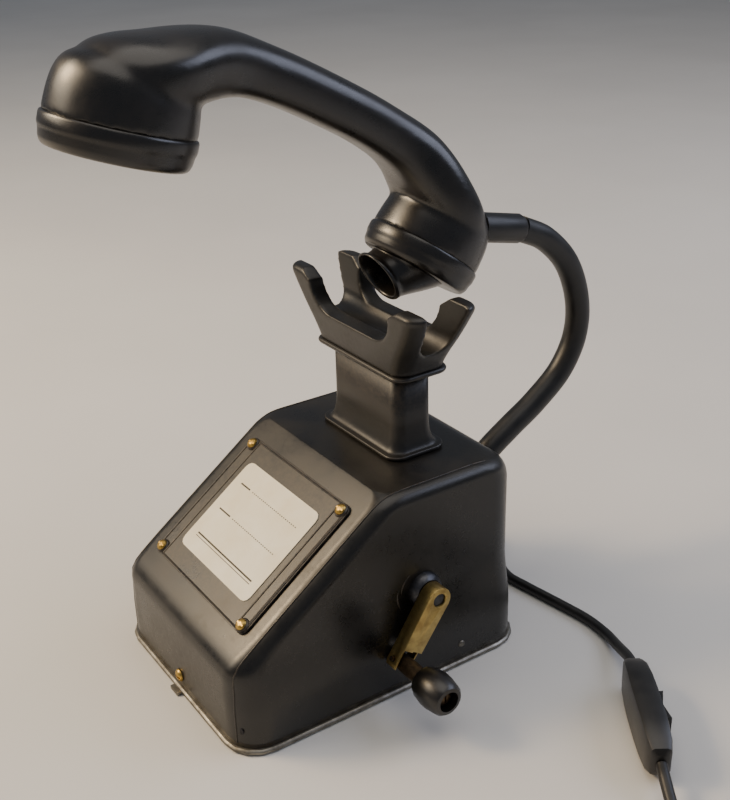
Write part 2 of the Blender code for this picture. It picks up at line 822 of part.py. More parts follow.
mouth_cap = turned_on(
    "mouth_cap",
    [
        (0, -8.4),
        (MOUTH_CUP_R - 3.4, -8.4),
        (MOUTH_CUP_R - 2.0, -7),
        (MOUTH_CUP_R - 2.0, -GAP),
        (MOUTH_CAP_R - 0.8, -GAP),
        (MOUTH_CAP_R, -1.6),
        (MOUTH_CAP_R, -4),
        (MOUTH_CAP_R - 1.0, -9),
        (MOUTH_CAP_R - 2.6, -11.4),
        (0, -11.4),
    ],
    bakelite,
    mouth_seat,
    mouth_axis,
)

# The mouthpiece is a short scoop on the mouth cap. It has an oval foot on the cap's face, and its mouth faces
# forward.
FUNNEL_RINGS = (
    # along the cap's face, out from it, half width, half length, lean of the ring in degrees
    (-4.0, 11.7, 18.5, 20.0, 0),
    (-6.5, 14.6, 16.6, 17.2, 8),
    (-10.5, 18.2, 14.8, 14.6, 18),
    (-14.0, 21.2, 13.8, 13.4, 25),
    (-16.4, 23.0, 14.2, 13.8, 28),
    (-17.2, 23.8, 13.6, 13.2, 28),
    (-16.6, 22.8, 12.0, 11.8, 28),
    (-13.0, 19.2, 11.0, 10.8, 22),
    (-8.5, 15.4, 10.4, 10.8, 10),
)


def funnel_ring(along, out, half_x, half_y, lean, steps=20):
    """An oval ring. Its +Y end is lifted off the cap's face by the lean."""
    lean = math.radians(lean)
    face_x = Vector((1, 0, 0))
    face_y = Vector((0, math.cos(math.radians(MOUTH_TILT)), math.sin(math.radians(MOUTH_TILT))))
    ring = []
    for step in range(steps):
        angle = 2 * math.pi * step / steps
        x = half_x * math.cos(angle)
        y = half_y * math.sin(angle)
        spot = mouth_seat + face_x * x + face_y * (along + y * math.cos(lean)) - mouth_axis * (
            out + y * math.sin(lean)
        )
        ring.append(tuple(in_handset(spot)))
    return ring


mouthpiece = loft("mouthpiece", [funnel_ring(*row) for row in FUNNEL_RINGS], bakelite, smooth=True)

# ---------------------------------------------------------------- bendable arm

NECK_KNOTS = (
    (0, HOUSE_HALF_Y + 8.0, NECK_EXIT_Z),
    (0, HOUSE_HALF_Y + 15.0, NECK_EXIT_Z + 0.4),
    (0, HOUSE_HALF_Y + 23.0, NECK_EXIT_Z + 4.9),
    (0, HOUSE_HALF_Y + 31.5, NECK_EXIT_Z + 12.3),
    (0, HOUSE_HALF_Y + 46.5, NECK_EXIT_Z + 21.5),
    (0, HOUSE_HALF_Y + 63.5, NECK_EXIT_Z + 31.5),
    (0, HOUSE_HALF_Y + 81.5, NECK_EXIT_Z + 46.0),
    (0, HOUSE_HALF_Y + 91.5, NECK_EXIT_Z + 64.5),
    (0, HANDSET_Y + 180.3, HANDSET_Z - 90.8),
    (0, HANDSET_Y + 171.3, HANDSET_Z - 67.8),
    (0, HANDSET_Y + 154.8, HANDSET_Z - 50.8),
    (0, HANDSET_Y + 136.8, HANDSET_Z - 41.6),
)
BOOT_START = Vector((0, HANDSET_Y + 111.3, HANDSET_Z - 36.2))
BOOT_AXIS = (Vector(NECK_KNOTS[-1]) - BOOT_START).normalized()
BEND_1 = 76.0
BEND_2 = 118.0
BEND_3 = 166.0
DOME = 6.0
BEND_GAP = 1.0
NECK_END_GAP = GAP + 0.14 * NECK_R  # the boot's end face isn't quite square to the path

boot_hole = rod(
    "boot_hole",
    BOOT_R + GAP,
    BOOT_START - BOOT_AXIS * 14,
    BOOT_START + BOOT_AXIS * 20,
    bakelite,
    16,
    cutter=True,
)
boolean(handset_body, boot_hole)
gooseneck_boot = turned(
    "gooseneck_boot",
    [(0, BOOT_LENGTH), (NECK_R + 0.2, BOOT_LENGTH), (BOOT_R, BOOT_LENGTH - 2), (BOOT_R, 0), (0, 0)],
    arm_sleeve,
    BOOT_START - BOOT_AXIS * 2,
    BOOT_AXIS,
    16,
)

neck_path = smooth_path(NECK_KNOTS, 12)
neck_end = path_length(neck_path)


def neck_piece(name, start, end, dome_start, dome_end):
    """A stretch of the arm. A domed end lets it tip against its neighbour."""
    low, high = start, end
    points, radii = [], []
    shares = (0.0, 0.12, 0.35, 0.65)
    if dome_start:
        for share in shares:
            points += stretch(neck_path, low + share * DOME, low + share * DOME + 0.1, 1)[:1]
            radii.append(math.sqrt(max(0.09, 1 - (1 - share) ** 2)))
        low += DOME
    if dome_end:
        high -= DOME
    middle = stretch(neck_path, low, high, 7)
    points += middle
    radii += [1.0] * len(middle)
    if dome_end:
        for share in reversed(shares):
            points += stretch(neck_path, end - share * DOME - 0.1, end - share * DOME, 1)[-1:]
            radii.append(math.sqrt(max(0.09, 1 - (1 - share) ** 2)))
    return tube(name, points, NECK_R, arm_sleeve, radii, resolution=4)


def on_neck(distance):
    return stretch(neck_path, distance, distance + 0.1, 1)[0]


neck_root = neck_piece("neck_root", 0, BEND_1 - BEND_GAP / 2, False, True)
neck_low = neck_piece("neck_low", BEND_1 + BEND_GAP / 2, BEND_2 - BEND_GAP / 2, True, True)
neck_middle = neck_piece("neck_middle", BEND_2 + BEND_GAP / 2, BEND_3 - BEND_GAP / 2, True, True)
neck_top = neck_piece("neck_top", BEND_3 + BEND_GAP / 2, neck_end - NECK_END_GAP, True, False)
neck_nut = turned(
    "neck_nut",
    [(0, 7.0), (9.2, 7.0), (10, 6.2), (10, 0), (4.9, 0), (4.9, -6), (0, -6)],
    dark_steel,
    (0, HOUSE_HALF_Y + GAP, NECK_EXIT_Z),
    (0, 1, 0),
    6,
    smooth=False,
)

bend_1 = joint_at("bend_1_axis", on_neck(BEND_1))
bend_2 = joint_at("bend_2_axis", on_neck(BEND_2))
bend_3 = joint_at("bend_3_axis", on_neck(BEND_3))
hang(bend_1, neck_low, bend_2)
hang(bend_2, neck_middle, bend_3)
hang(bend_3, neck_top, gooseneck_boot, handset_body, ear_cap, lamp_holder, bulb, mouth_cap, mouthpiece)

# ---------------------------------------------------------------- crank

swing = Matrix.Rotation(math.radians(-CRANK_SWING), 3, "X")
arm_down = swing @ Vector((0, 0, -1))
arm_side = swing @ Vector((0, 1, 0))
crank_middle = Vector((0, CRANK_Y, CRANK_Z))


def on_arm(x, side, down):
    """A point given by its X, its place across the arm and its distance from the crank's axis."""
    return crank_middle + Vector((x, 0, 0)) + arm_side * side + arm_down * down


ARM_HALF = 6.6
ARM_SHEET = 1.3
WEB_END = 28.5
EAR_END = 40.0


def arm_outline(half, end, corner):
    """The arm seen from its face: round at the hub, tapering a little, with cut corners at its tip."""
    outline = []
    for step in range(9):
        angle = math.radians(180 + 180 * step / 8)
        outline.append((half * math.cos(angle), half * math.sin(angle)))
    outline += [
        (half - 0.6, end - corner),
        (half - 0.6 - corner / 2, end),
        (-half + 0.6 + corner / 2, end),
        (-half + 0.6, end - corner),
    ]
    return outline


def arm_prism(name, outline, x0, x1, cutter=False):
    rings = [[tuple(on_arm(x, side, down)) for side, down in outline] for x in (x0, x1)]
    return loft(name, rings, brass, cutter=cutter)


crank_arm = arm_prism("crank_arm", arm_outline(ARM_HALF, EAR_END, 3), ARM_BACK_X, ARM_FRONT_X)
channel_half = ARM_HALF - ARM_SHEET
channel = arm_prism(
    "arm_channel",
    [(-channel_half, 7.5), (channel_half, 7.5), (channel_half - 0.5, 45), (-channel_half + 0.5, 45)],
    ARM_BACK_X - 1,
    ARM_FRONT_X - ARM_SHEET,
    cutter=True,
)
notch = arm_prism(
    "arm_notch",
    [
        (-channel_half, WEB_END),
        (channel_half, WEB_END),
        (channel_half - 0.5, 45),
        (-channel_half + 0.5, 45),
    ],
    ARM_BACK_X - 1,
    ARM_FRONT_X + 1,
    cutter=True,
)
ear_trim = arm_prism(
    "ear_trim",
    [(0.2, WEB_END - 0.6), (9, WEB_END - 0.6), (9, 45), (0.2, 45)],
    ARM_FRONT_X - 2.2,
    ARM_FRONT_X + 1,
    cutter=True,
)
hub_socket = rod(
    "hub_socket",
    SHAFT_R + GAP,
    on_arm(ARM_BACK_X - 1, 0, 0),
    on_arm(ARM_FRONT_X + 1, 0, 0),
    brass,
    cutter=True,
)
pin_hole = rod(
    "pin_hole", 1.5, on_arm(HANDLE_X, -9, ARM_PIVOT), on_arm(HANDLE_X, 9, ARM_PIVOT), brass, 10, cutter=True
)
for tool in (channel, notch, ear_trim, hub_socket, pin_hole):
    boolean(crank_arm, tool)

crank_shaft = turned(
    "crank_shaft",
    [(0, ARM_FRONT_X - 1.0), (SHAFT_R, ARM_FRONT_X - 1.0), (SHAFT_R, 33), (0, 33)],
    dark_steel,
    (0, CRANK_Y, CRANK_Z),
    (1, 0, 0),
    14,
)
BOSS = ARM_BACK_X - GAP - HOUSE_TOP_HALF_X - 0.5
BUSH_R = SHAFT_R + 5.9
crank_bush = turned(
    "crank_bush",
    [
        (SHAFT_R + 0.4, BOSS),
        (SHAFT_R + 3.7, BOSS),
        (BUSH_R - 0.8, BOSS - 1.2),
        (BUSH_R, 0.8),
        (BUSH_R, -4.0),
        (SHAFT_R + 0.4, -4.0),
    ],
    black_lacquer,
    (HOUSE_TOP_HALF_X + 0.5, CRANK_Y, CRANK_Z),
    (1, 0, 0),
)
fold_pin = rod(
    "fold_pin", 1.2, on_arm(HANDLE_X, -7.4, ARM_PIVOT), on_arm(HANDLE_X, 7.4, ARM_PIVOT), dark_steel, 10
)

KNOB_START = HANDLE_X + 17.0
KNOB_LENGTH = 20.5
stem_foot = on_arm(HANDLE_X - 2.6, 0, ARM_PIVOT)
crank_stem = turned(
    "crank_stem",
    [
        (0, KNOB_START + 15.5 - HANDLE_X + 2.6),
        (2.6, KNOB_START + 15.5 - HANDLE_X + 2.6),
        (2.6, KNOB_START - 1.2 - HANDLE_X + 2.6),
        (4.2, KNOB_START - 1.2 - HANDLE_X + 2.6),
        (4.4, 12),
        (4.2, 6),
        (3.9, 0),
        (0, 0),
    ],
    copper,
    stem_foot,
    (1, 0, 0),
    14,
)
stem_hole = rod(
    "stem_hole",
    1.5,
    on_arm(HANDLE_X, -9, ARM_PIVOT),
    on_arm(HANDLE_X, 9, ARM_PIVOT),
    brass,
    10,
    cutter=True,
)
boolean(crank_stem, stem_hole)
knob_foot = on_arm(KNOB_START, 0, ARM_PIVOT)
crank_knob = turned(
    "crank_knob",
    [
        (5.2, KNOB_LENGTH),
        (7.0, KNOB_LENGTH - 0.3),
        (8.3, KNOB_LENGTH - 2),
        (9.3, KNOB_LENGTH - 8),
        (9.4, KNOB_LENGTH - 12),
        (8.6, 4),
        (7.2, 0.8),
        (5.5, 0),
        (3.0, 0),
        (3.0, 15.4),
        (5.2, 15.4),
    ],
    bakelite,
    knob_foot,
    (1, 0, 0),
)
knob_screw = turned(
    "knob_screw",
    [(0, 1.8), (2.2, 1.65), (3.8, 1.1), (4.6, 0.3), (4.6, 0), (0, 0)],
    dark_steel,
    on_arm(KNOB_START + 15.8, 0, ARM_PIVOT),
    (1, 0, 0),
    14,
)
knob_slot = block("knob_slot", (-6, -0.6, 0.9), (6, 0.6, 3), dark_steel, cutter=True)
knob_slot.location = knob_screw.location
knob_slot.rotation_euler = knob_screw.rotation_euler
boolean(knob_screw, knob_slot)

crank_axis = joint_at("crank_axis", crank_middle)
fold_axis = joint_at("handle_fold_axis", on_arm(HANDLE_X, 0, ARM_PIVOT), swing.to_euler())
knob_axis = joint_at("knob_axis", knob_foot)

# ---------------------------------------------------------------- generator


def gear_outline(teeth, pitch_r, above, below, root_share, tip_share, phase):
    """Straight-sided teeth round a circle, as (y, z) about the gear's own axis."""
    outline = []
    step = 2 * math.pi / teeth
    for tooth in range(teeth):
        middle = phase + tooth * step
        outline.append(((pitch_r - below), middle - root_share * step))
        outline.append(((pitch_r + above), middle - tip_share * step))
        outline.append(((pitch_r + above), middle + tip_share * step))
        outline.append(((pitch_r - below), middle + root_share * step))
    return [(r * math.cos(a), r * math.sin(a)) for r, a in outline]


mesh_angle = math.atan2(ARMATURE_Z - CRANK_Z, ARMATURE_Y - CRANK_Y)
drive_gear = extrusion(
    "drive_gear",
    gear_outline(GEAR_TEETH, GEAR_R, 0.9, 1.3, 0.3, 0.13, mesh_angle),
    "X", 43.5, 3.5, brass, origin=(0, CRANK_Y, CRANK_Z),
)  # fmt: skip
boolean(
    drive_gear,
    rod(
        "drive_bore", SHAFT_R + GAP, (40, CRANK_Y, CRANK_Z), (50, CRANK_Y, CRANK_Z), brass, 14, cutter=True
    ),
)
pinion = extrusion(
    "pinion",
    gear_outline(
        PINION_TEETH, PINION_R, 0.9, 1.3, 0.3, 0.12, mesh_angle + math.pi + math.pi / PINION_TEETH
    ),
    "X", 43, 4.5, dark_steel, origin=(0, ARMATURE_Y, ARMATURE_Z),
)  # fmt: skip
boolean(
    pinion,
    rod(
        "pinion_bore",
        2.3,
        (40, ARMATURE_Y, ARMATURE_Z),
        (50, ARMATURE_Y, ARMATURE_Z),
        brass,
        12,
        cutter=True,
    ),
)

armature = turned(
    "armature",
    [(0, 64), (2.0, 64), (2.0, 52), (10.5, 52), (10.5, 6), (2.0, 6), (2.0, -4), (0, -4)],
    copper,
    (-15.5, ARMATURE_Y, ARMATURE_Z),
    (1, 0, 0),
    16,
)
FRAME_LEFT = -16.5
FRAME_RIGHT = 38.0
PLATE = 3.0
magneto_frame = block(
    "magneto_frame",
    (FRAME_LEFT, -28, BASE_THICK + GAP),
    (FRAME_RIGHT + PLATE, 36, BASE_THICK + GAP + 3),
    dark_steel,
)
left_cheek = block(
    "left_cheek", (FRAME_LEFT, -20, 4), (FRAME_LEFT + PLATE, 12, 58), dark_steel, cutter=True
)
right_cheek = block(
    "right_cheek", (FRAME_RIGHT, -20, 4), (FRAME_RIGHT + PLATE, 33, 60), dark_steel, cutter=True
)
boolean(magneto_frame, left_cheek, "UNION")
boolean(magneto_frame, right_cheek, "UNION")
shaft_bore = rod(
    "shaft_bore", SHAFT_R + 0.4, (30, CRANK_Y, CRANK_Z), (50, CRANK_Y, CRANK_Z), dark_steel, 14, cutter=True
)
armature_bore = rod(
    "armature_bore",
    2.4,
    (-30, ARMATURE_Y, ARMATURE_Z),
    (50, ARMATURE_Y, ARMATURE_Z),
    dark_steel,
    12,
    cutter=True,
)
boolean(magneto_frame, shaft_bore)
boolean(magneto_frame, armature_bore)

MAGNET_GAP = 12.5
MAGNET_THICK = 8.0
MAGNET_SHOULDER_Z = 56.0


def magnet_outline(steps=8):
    """A horseshoe standing on its two ends, as (y, z)."""
    outer = MAGNET_GAP + MAGNET_THICK
    foot = BASE_THICK + GAP + 3 + GAP
    points = [(ARMATURE_Y + outer, foot)]
    for step in range(steps + 1):
        angle = math.pi * step / steps
        points.append((ARMATURE_Y + outer * math.cos(angle), MAGNET_SHOULDER_Z + outer * math.sin(angle)))
    points.append((ARMATURE_Y - outer, foot))
    points.append((ARMATURE_Y - MAGNET_GAP, foot))
    for step in range(steps + 1):
        angle = math.pi * (1 - step / steps)
        points.append(
            (ARMATURE_Y + MAGNET_GAP * math.cos(angle), MAGNET_SHOULDER_Z + MAGNET_GAP * math.sin(angle))
        )
    points.append((ARMATURE_Y + MAGNET_GAP, foot))
    return points


for index, start in enumerate((-10.5, 14.0), 1):
    extrusion(f"magnet_{index}", magnet_outline(), "X", start, 21.0, magnet_iron)

armature_axis = joint_at("armature_axis", (0, ARMATURE_Y, ARMATURE_Z))
hang(armature_axis, armature, pinion)
hang(crank_axis, crank_shaft, crank_arm, fold_pin, drive_gear, fold_axis)
hang(fold_axis, crank_stem, knob_screw, knob_axis)
hang(knob_axis, crank_knob)

# ---------------------------------------------------------------- ringer

RINGER_X = -40.0
GONG_R = 18.0
GONG_YS = (-26.0, 18.0)
CLAPPER_Y = -4.0
GONG_RIM_Z = 44.0
for index, y in enumerate(GONG_YS, 1):
    turned(
        f"gong_{index}",
        [
            (2.8, 12),
            (7, 11.8),
            (13, 9),
            (16.6, 5),
            (GONG_R, 0),
            (GONG_R - 1.5, 0),
            (15.3, 4),
            (12, 7.6),
            (6.6, 10.2),
            (2.8, 10.4),
        ],
        bell_brass,
        (RINGER_X, y, GONG_RIM_Z),
        steps=20,
    )
    turned(
        f"gong_post_{index}",
        [(0, 58.2), (4, 58), (4.4, 56.5), (2.4, 56.5), (2.4, 53.8), (4.5, 53.8), (4.5, 3.2), (0, 3.2)],
        dark_steel,
        (RINGER_X, y, BASE_THICK + GAP - 3.2),
        steps=10,
    )
ringer_yoke = block(
    "ringer_yoke", (RINGER_X - 8, -20.6, BASE_THICK + GAP), (RINGER_X + 8, 12.6, 6.3), dark_steel
)
yoke_post = block(
    "yoke_post",
    (RINGER_X + 5.2, CLAPPER_Y - 3, 5),
    (RINGER_X + 8, CLAPPER_Y + 3, 35),
    dark_steel,
    cutter=True,
)
boolean(ringer_yoke, yoke_post, "UNION")
for index, y in enumerate((CLAPPER_Y - 9.8, CLAPPER_Y + 9.8), 1):
    turned(
        f"ringer_coil_{index}",
        [
            (0, 24.5),
            (3, 24.5),
            (3, 23),
            (6.6, 23),
            (6.6, 21.4),
            (5.9, 21.4),
            (5.9, 1.6),
            (6.6, 1.6),
            (6.6, 0),
            (0, 0),
        ],
        copper,
        (RINGER_X, y, 6.3 + GAP),
        steps=14,
    )
clapper = block(
    "clapper", (RINGER_X - 4.5, CLAPPER_Y - 13, 32.4), (RINGER_X + 4.5, CLAPPER_Y + 13, 34.4), dark_steel
)
clapper_rod = turned(
    "clapper_rod",
    [(0, 14.7), (2, 14.1), (2.9, 11.8), (2, 9.5), (0.8, 8.9), (0.8, -1), (0, -1)],
    dark_steel,
    (RINGER_X, CLAPPER_Y, 34.0),
    steps=10,
    cutter=True,
)
boolean(clapper, clapper_rod, "UNION")
hang(joint_at("clapper_axis", (RINGER_X, CLAPPER_Y, 33.4)), clapper)

# ---------------------------------------------------------------- speech coil, capacitor, terminals

induction_coil = turned(
    "induction_coil",
    [(0, 46), (11, 46), (11, 43), (8.8, 43), (8.8, 3), (11, 3), (11, 0), (0, 0)],
    copper,
    (8, -55, BASE_THICK + GAP + 11.2),
    (1, 0, 0),
    14,
)
capacitor = block("capacitor", (-56, -74, BASE_THICK + GAP), (-14, -52, 32), base_steel, bevel=1.2)
terminal_block = block("terminal_block", (18, 60, BASE_THICK + GAP), (56, 74, 15), bakelite)
for index in range(4):
    x = 22.5 + 9.5 * index
    groove = block(f"terminal_slot_{index + 1}", (x, 62, 9), (x + 5.5, 72, 16), bakelite, cutter=True)
    boolean(terminal_block, groove)

# ---------------------------------------------------------------- mains lead with its switch and plug

GLAND_LENGTH = 22.0
cord_gland = turned(
    "cord_gland",
    [
        (0, GLAND_LENGTH),
        (CORD_R + 0.5, GLAND_LENGTH),
        (4.6, 5),
        (6.6, 4.6),
        (6.6, 0),
        (4.0, 0),
        (4.0, -5),
        (0, -5),
    ],
    lead_rubber,
    (GLAND_X, HOUSE_HALF_Y + GAP, GLAND_Z),
    (0, 1, 0),
    14,
)
half_switch = SWITCH_DIRECTION * SWITCH_LENGTH / 2
switch_near = SWITCH_MIDDLE - half_switch
switch_far = SWITCH_MIDDLE + half_switch
lead_start = Vector((GLAND_X, HOUSE_HALF_Y + GAP + GLAND_LENGTH + GAP, GLAND_Z))
LEAD_1 = (
    lead_start,
    lead_start + Vector((0, 9, -0.8)),
    (GLAND_X + 4.5, 124.5, 8.5),
    (GLAND_X + 15, 131.5, 4.5),
    (GLAND_X + 30, 131.0, CORD_REST_Z),
    (-2, 123, CORD_REST_Z),
    (11, 114.5, CORD_REST_Z),
    (23, 110.8, CORD_REST_Z),
    (34.6, 112, CORD_REST_Z),
    (48, 114, CORD_REST_Z),
    (64, 116.4, CORD_REST_Z),
    (79.5, 118.0, CORD_REST_Z),
    (93.5, 116.4, 3.4),
    (106, 111.8, 5.6),
    switch_near - SWITCH_DIRECTION * 10 + Vector((0.4, 0.6, -1.4)),
    switch_near - SWITCH_DIRECTION * 0.6,
)
lead_1_path = rested(smooth_path(LEAD_1, 8))
tube(
    "mains_lead_1", stretch(lead_1_path, 0, path_length(lead_1_path), 9), CORD_R, lead_rubber, resolution=2
)

coil_pitch = 2 * CORD_R + 0.05
coil_rise = coil_pitch * (COIL_TURNS + (COIL_IN - COIL_OUT) / 360)
coil_top = Vector((COIL_X, COIL_Y + COIL_R, CORD_REST_Z + coil_rise))
LEAD_2 = (
    switch_far + SWITCH_DIRECTION * 0.6,
    switch_far + SWITCH_DIRECTION * 9 + Vector((0, 0, -1.4)),
    switch_far + SWITCH_DIRECTION * 20 + Vector((0.5, 1, -6.0)),
    (COIL_X - 59, coil_top.y + 2, 3.2),
    (COIL_X - 46, coil_top.y + 0.8, 9.5),
    (COIL_X - 35, coil_top.y, 21.5),
    (COIL_X - 25, coil_top.y, 33),
    (COIL_X - 15, coil_top.y, coil_top.z - 2),
    (COIL_X - 7, coil_top.y, coil_top.z + 0.2),
)
lead_2_path = rested(smooth_path(LEAD_2, 8))
tube(
    "mains_lead_2", stretch(lead_2_path, 0, path_length(lead_2_path), 9), CORD_R, lead_rubber, resolution=2
)

# The spare lead lies on the floor as one neat coil, modelled as the ring that its turns fill.
coil_height = coil_top.z - 2 * CORD_R - GAP
cord_coil = turned(
    "cord_coil",
    [
        (COIL_R - CORD_R, coil_height),
        (COIL_R + CORD_R, coil_height),
        (COIL_R + CORD_R, 0.1),
        (COIL_R - CORD_R, 0.1),
    ],
    lead_rubber,
    (COIL_X, COIL_Y, 0),
    steps=28,
)

# The plug lies beyond the coil: a flat two-pin body with a tapered sleeve where the lead enters.
out_angle = math.radians(COIL_OUT)
plug_way = Vector((math.sin(out_angle), -math.cos(out_angle), 0))
plug_side = Vector((plug_way.y, -plug_way.x, 0))
leaving = Vector(
    (COIL_X + COIL_R * math.cos(out_angle), COIL_Y + COIL_R * math.sin(out_angle), CORD_REST_Z + 3.2)
)
plug_start = leaving + plug_way * 18.8
PLUG_SECTIONS = (
    # distance from the coil, half width, half height, lift
    (0, 2.9, 2.8, -2.6),
    (14, 4.2, 4.0, -1.6),
    (20, 9.5, 5.4, -0.4),
    (26, 13.4, 5.8, 0.1),
    (46, 13.4, 5.8, 0.1),
    (48, 12.4, 4.9, 0.1),
)


def plug_ring(along, half_wide, half_high, lift):
    angles = [2 * math.pi * (k + 0.5) / 12 for k in range(12)]
    ring = []
    for a in angles:
        spot = plug_start + plug_way * along + plug_side * half_wide * math.cos(a)
        ring.append(tuple(spot + Vector((0, 0, half_high * math.sin(a) + lift))))
    return ring


plug = loft("plug", [plug_ring(*row) for row in PLUG_SECTIONS], black_plastic)
for side in (-1, 1):
    pin_start = plug_start + plug_side * side * 9.3 + plug_way * 46 + Vector((0, 0, 0.1))
    pin = rod(
        f"plug_pin_{side + 2}", 2.0, pin_start, pin_start + plug_way * 21, base_steel, 10, cutter=True
    )
    boolean(plug, pin, "UNION")

# The in-line switch stands on its long edge; its rocker faces away from the crank side's front.
switch_face = Vector((-SWITCH_DIRECTION.y, SWITCH_DIRECTION.x, 0))
ROCKER_LENGTH = 19.0
ROCKER_WIDTH = 11.0


def in_switch(along, out, up):
    """A point given along the switch, out of its rocker face and above its middle."""
    return SWITCH_MIDDLE + SWITCH_DIRECTION * along + switch_face * out + Vector((0, 0, up))


SWITCH_RINGS = (
    # along, half depth, half height
    (-33, 3.4, 5.0),
    (-31.5, 4.8, 7.4),
    (-26, 5.9, 9.6),
    (-16, 6.4, 10.8),
    (-7, 6.6, 11.0),
    (7, 6.6, 11.0),
    (16, 6.4, 10.8),
    (26, 5.9, 9.6),
    (31.5, 4.8, 7.4),
    (33, 3.4, 5.0),
)
switch_body = loft(
    "switch_body",
    [
        [
            tuple(in_switch(along, a, b)) for a, b, _ in rounded_ring(
                depth, -height, height, (2, 2.4), (2, 2.4), 0, 2
            )
        ]
        for along, depth, height in SWITCH_RINGS
    ],
    black_plastic,
)
switch_frame = Matrix((SWITCH_DIRECTION, Vector((0, 0, 1)), -switch_face)).transposed().to_4x4()


def in_switch_frame(obj, along, out):
    """Turn an object so that its X runs along the switch, Y up and Z into the rocker face."""
    obj.matrix_world = Matrix.Translation(in_switch(along, out, 0) * MM) @ switch_frame
    return obj


pocket = block(
    "rocker_pocket",
    (-ROCKER_LENGTH / 2 - 0.5, -ROCKER_WIDTH / 2 - 0.4, -5.4),
    (ROCKER_LENGTH / 2 + 0.5, ROCKER_WIDTH / 2 + 0.4, 5.4),
    black_plastic,
    cutter=True,
)
boolean(switch_body, in_switch_frame(pocket, 0, 6.6))
rocker_outline = [
    (-10.5, -3.0), (0, -0.9), (10.5, -3.0), (10.0, 0.6), (3.5, 4.2), (-3.5, 4.2), (-10.0, 0.6)
]
switch_rocker = loft(
    "switch_rocker",
    [
        [(a * ROCKER_LENGTH / 21, up, b) for a, b in rocker_outline] for up in (
            -ROCKER_WIDTH / 2, ROCKER_WIDTH / 2
        )
    ],
    black_plastic,
)
in_switch_frame(switch_rocker, 0, 6.6)
hang(joint_at("rocker_axis", in_switch(0, 4.6, 0)), switch_rocker)
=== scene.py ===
# %% [markdown]
# # A crank telephone made over into a lamp
# This lesson dresses a finished CAD model. The CAD says where everything is and how it moves. Here each
# visible piece gets the surface of the real one: lacquered steel, moulded phenolic, brass, rubber.

# %% Load the model
import math

import bmesh
import bpy
from mathutils import Matrix, Vector
from mathutils.bvhtree import BVHTree
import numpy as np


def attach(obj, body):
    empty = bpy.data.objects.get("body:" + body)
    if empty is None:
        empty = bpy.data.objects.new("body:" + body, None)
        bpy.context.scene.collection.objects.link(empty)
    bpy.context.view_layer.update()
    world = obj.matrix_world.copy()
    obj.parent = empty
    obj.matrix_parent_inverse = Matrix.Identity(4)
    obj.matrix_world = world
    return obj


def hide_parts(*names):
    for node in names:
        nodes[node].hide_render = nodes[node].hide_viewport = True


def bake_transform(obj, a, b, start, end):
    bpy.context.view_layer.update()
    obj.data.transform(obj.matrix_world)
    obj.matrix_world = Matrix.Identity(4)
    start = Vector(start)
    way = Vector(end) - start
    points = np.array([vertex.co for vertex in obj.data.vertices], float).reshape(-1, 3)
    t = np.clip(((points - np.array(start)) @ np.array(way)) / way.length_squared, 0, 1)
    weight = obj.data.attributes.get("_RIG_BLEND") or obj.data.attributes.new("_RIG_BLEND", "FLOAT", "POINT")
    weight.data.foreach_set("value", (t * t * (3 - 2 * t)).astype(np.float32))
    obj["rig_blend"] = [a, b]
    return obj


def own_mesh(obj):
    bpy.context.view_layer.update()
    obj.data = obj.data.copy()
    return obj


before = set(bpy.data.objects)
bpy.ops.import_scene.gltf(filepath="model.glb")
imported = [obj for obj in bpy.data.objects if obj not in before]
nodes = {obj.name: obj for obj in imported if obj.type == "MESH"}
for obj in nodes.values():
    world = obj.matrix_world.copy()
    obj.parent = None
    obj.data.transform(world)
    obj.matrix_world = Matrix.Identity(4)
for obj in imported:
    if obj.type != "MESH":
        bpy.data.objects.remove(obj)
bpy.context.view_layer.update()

MM = 0.001

# %% [markdown]
# ## Camera
# A long lens a little above the object keeps its upright edges nearly parallel. The camera looks down at it
# from the crank's side. Its axes are built from two angles, so the tilt of the picture is a value of its
# own.

# %% Camera
VIEW_TURN = math.radians(56.64)
VIEW_RISE = math.radians(25.06)
VIEW_ROLL = math.radians(-1.63)
LOOK_AT = Vector((-3.136, 33.736, 125.28)) * MM
VIEW_DISTANCE = 584.9 * MM

back = Vector((
    math.sin(VIEW_TURN) * math.cos(VIEW_RISE),
    -math.cos(VIEW_TURN) * math.cos(VIEW_RISE),
    math.sin(VIEW_RISE),
))
level_right = Vector((math.cos(VIEW_TURN), math.sin(VIEW_TURN), 0))
level_up = back.cross(level_right)
right = math.cos(VIEW_ROLL) * level_right + math.sin(VIEW_ROLL) * level_up
up = -math.sin(VIEW_ROLL) * level_right + math.cos(VIEW_ROLL) * level_up
camera = bpy.data.objects.new("camera", bpy.data.cameras.new("camera"))
camera.data.lens = 52.08
camera.data.sensor_width = 36
camera.data.clip_start = 0.01
camera.matrix_world = Matrix((right, up, back)).transposed().to_4x4()
camera.matrix_world.translation = LOOK_AT + back * VIEW_DISTANCE
bpy.context.scene.collection.objects.link(camera)
bpy.context.scene.camera = camera
print("camera at", tuple(round(v, 3) for v in camera.location))

# %% [markdown]
# ## Small tools
# Colours are written as the hex values that a paint chart would give, and one function turns them to linear
# light. One more function adds a shader node with its settings and links.

# %% Colour and shader tools


def linear(hex_colour):
    """An sRGB hex colour as linear red, green, blue and alpha."""
    found = []
    for start in (1, 3, 5):
        value = int(hex_colour[start : start + 2], 16) / 255
        found.append(value / 12.92 if value <= 0.04045 else ((value + 0.055) / 1.055) ** 2.4)
    return (*found, 1.0)


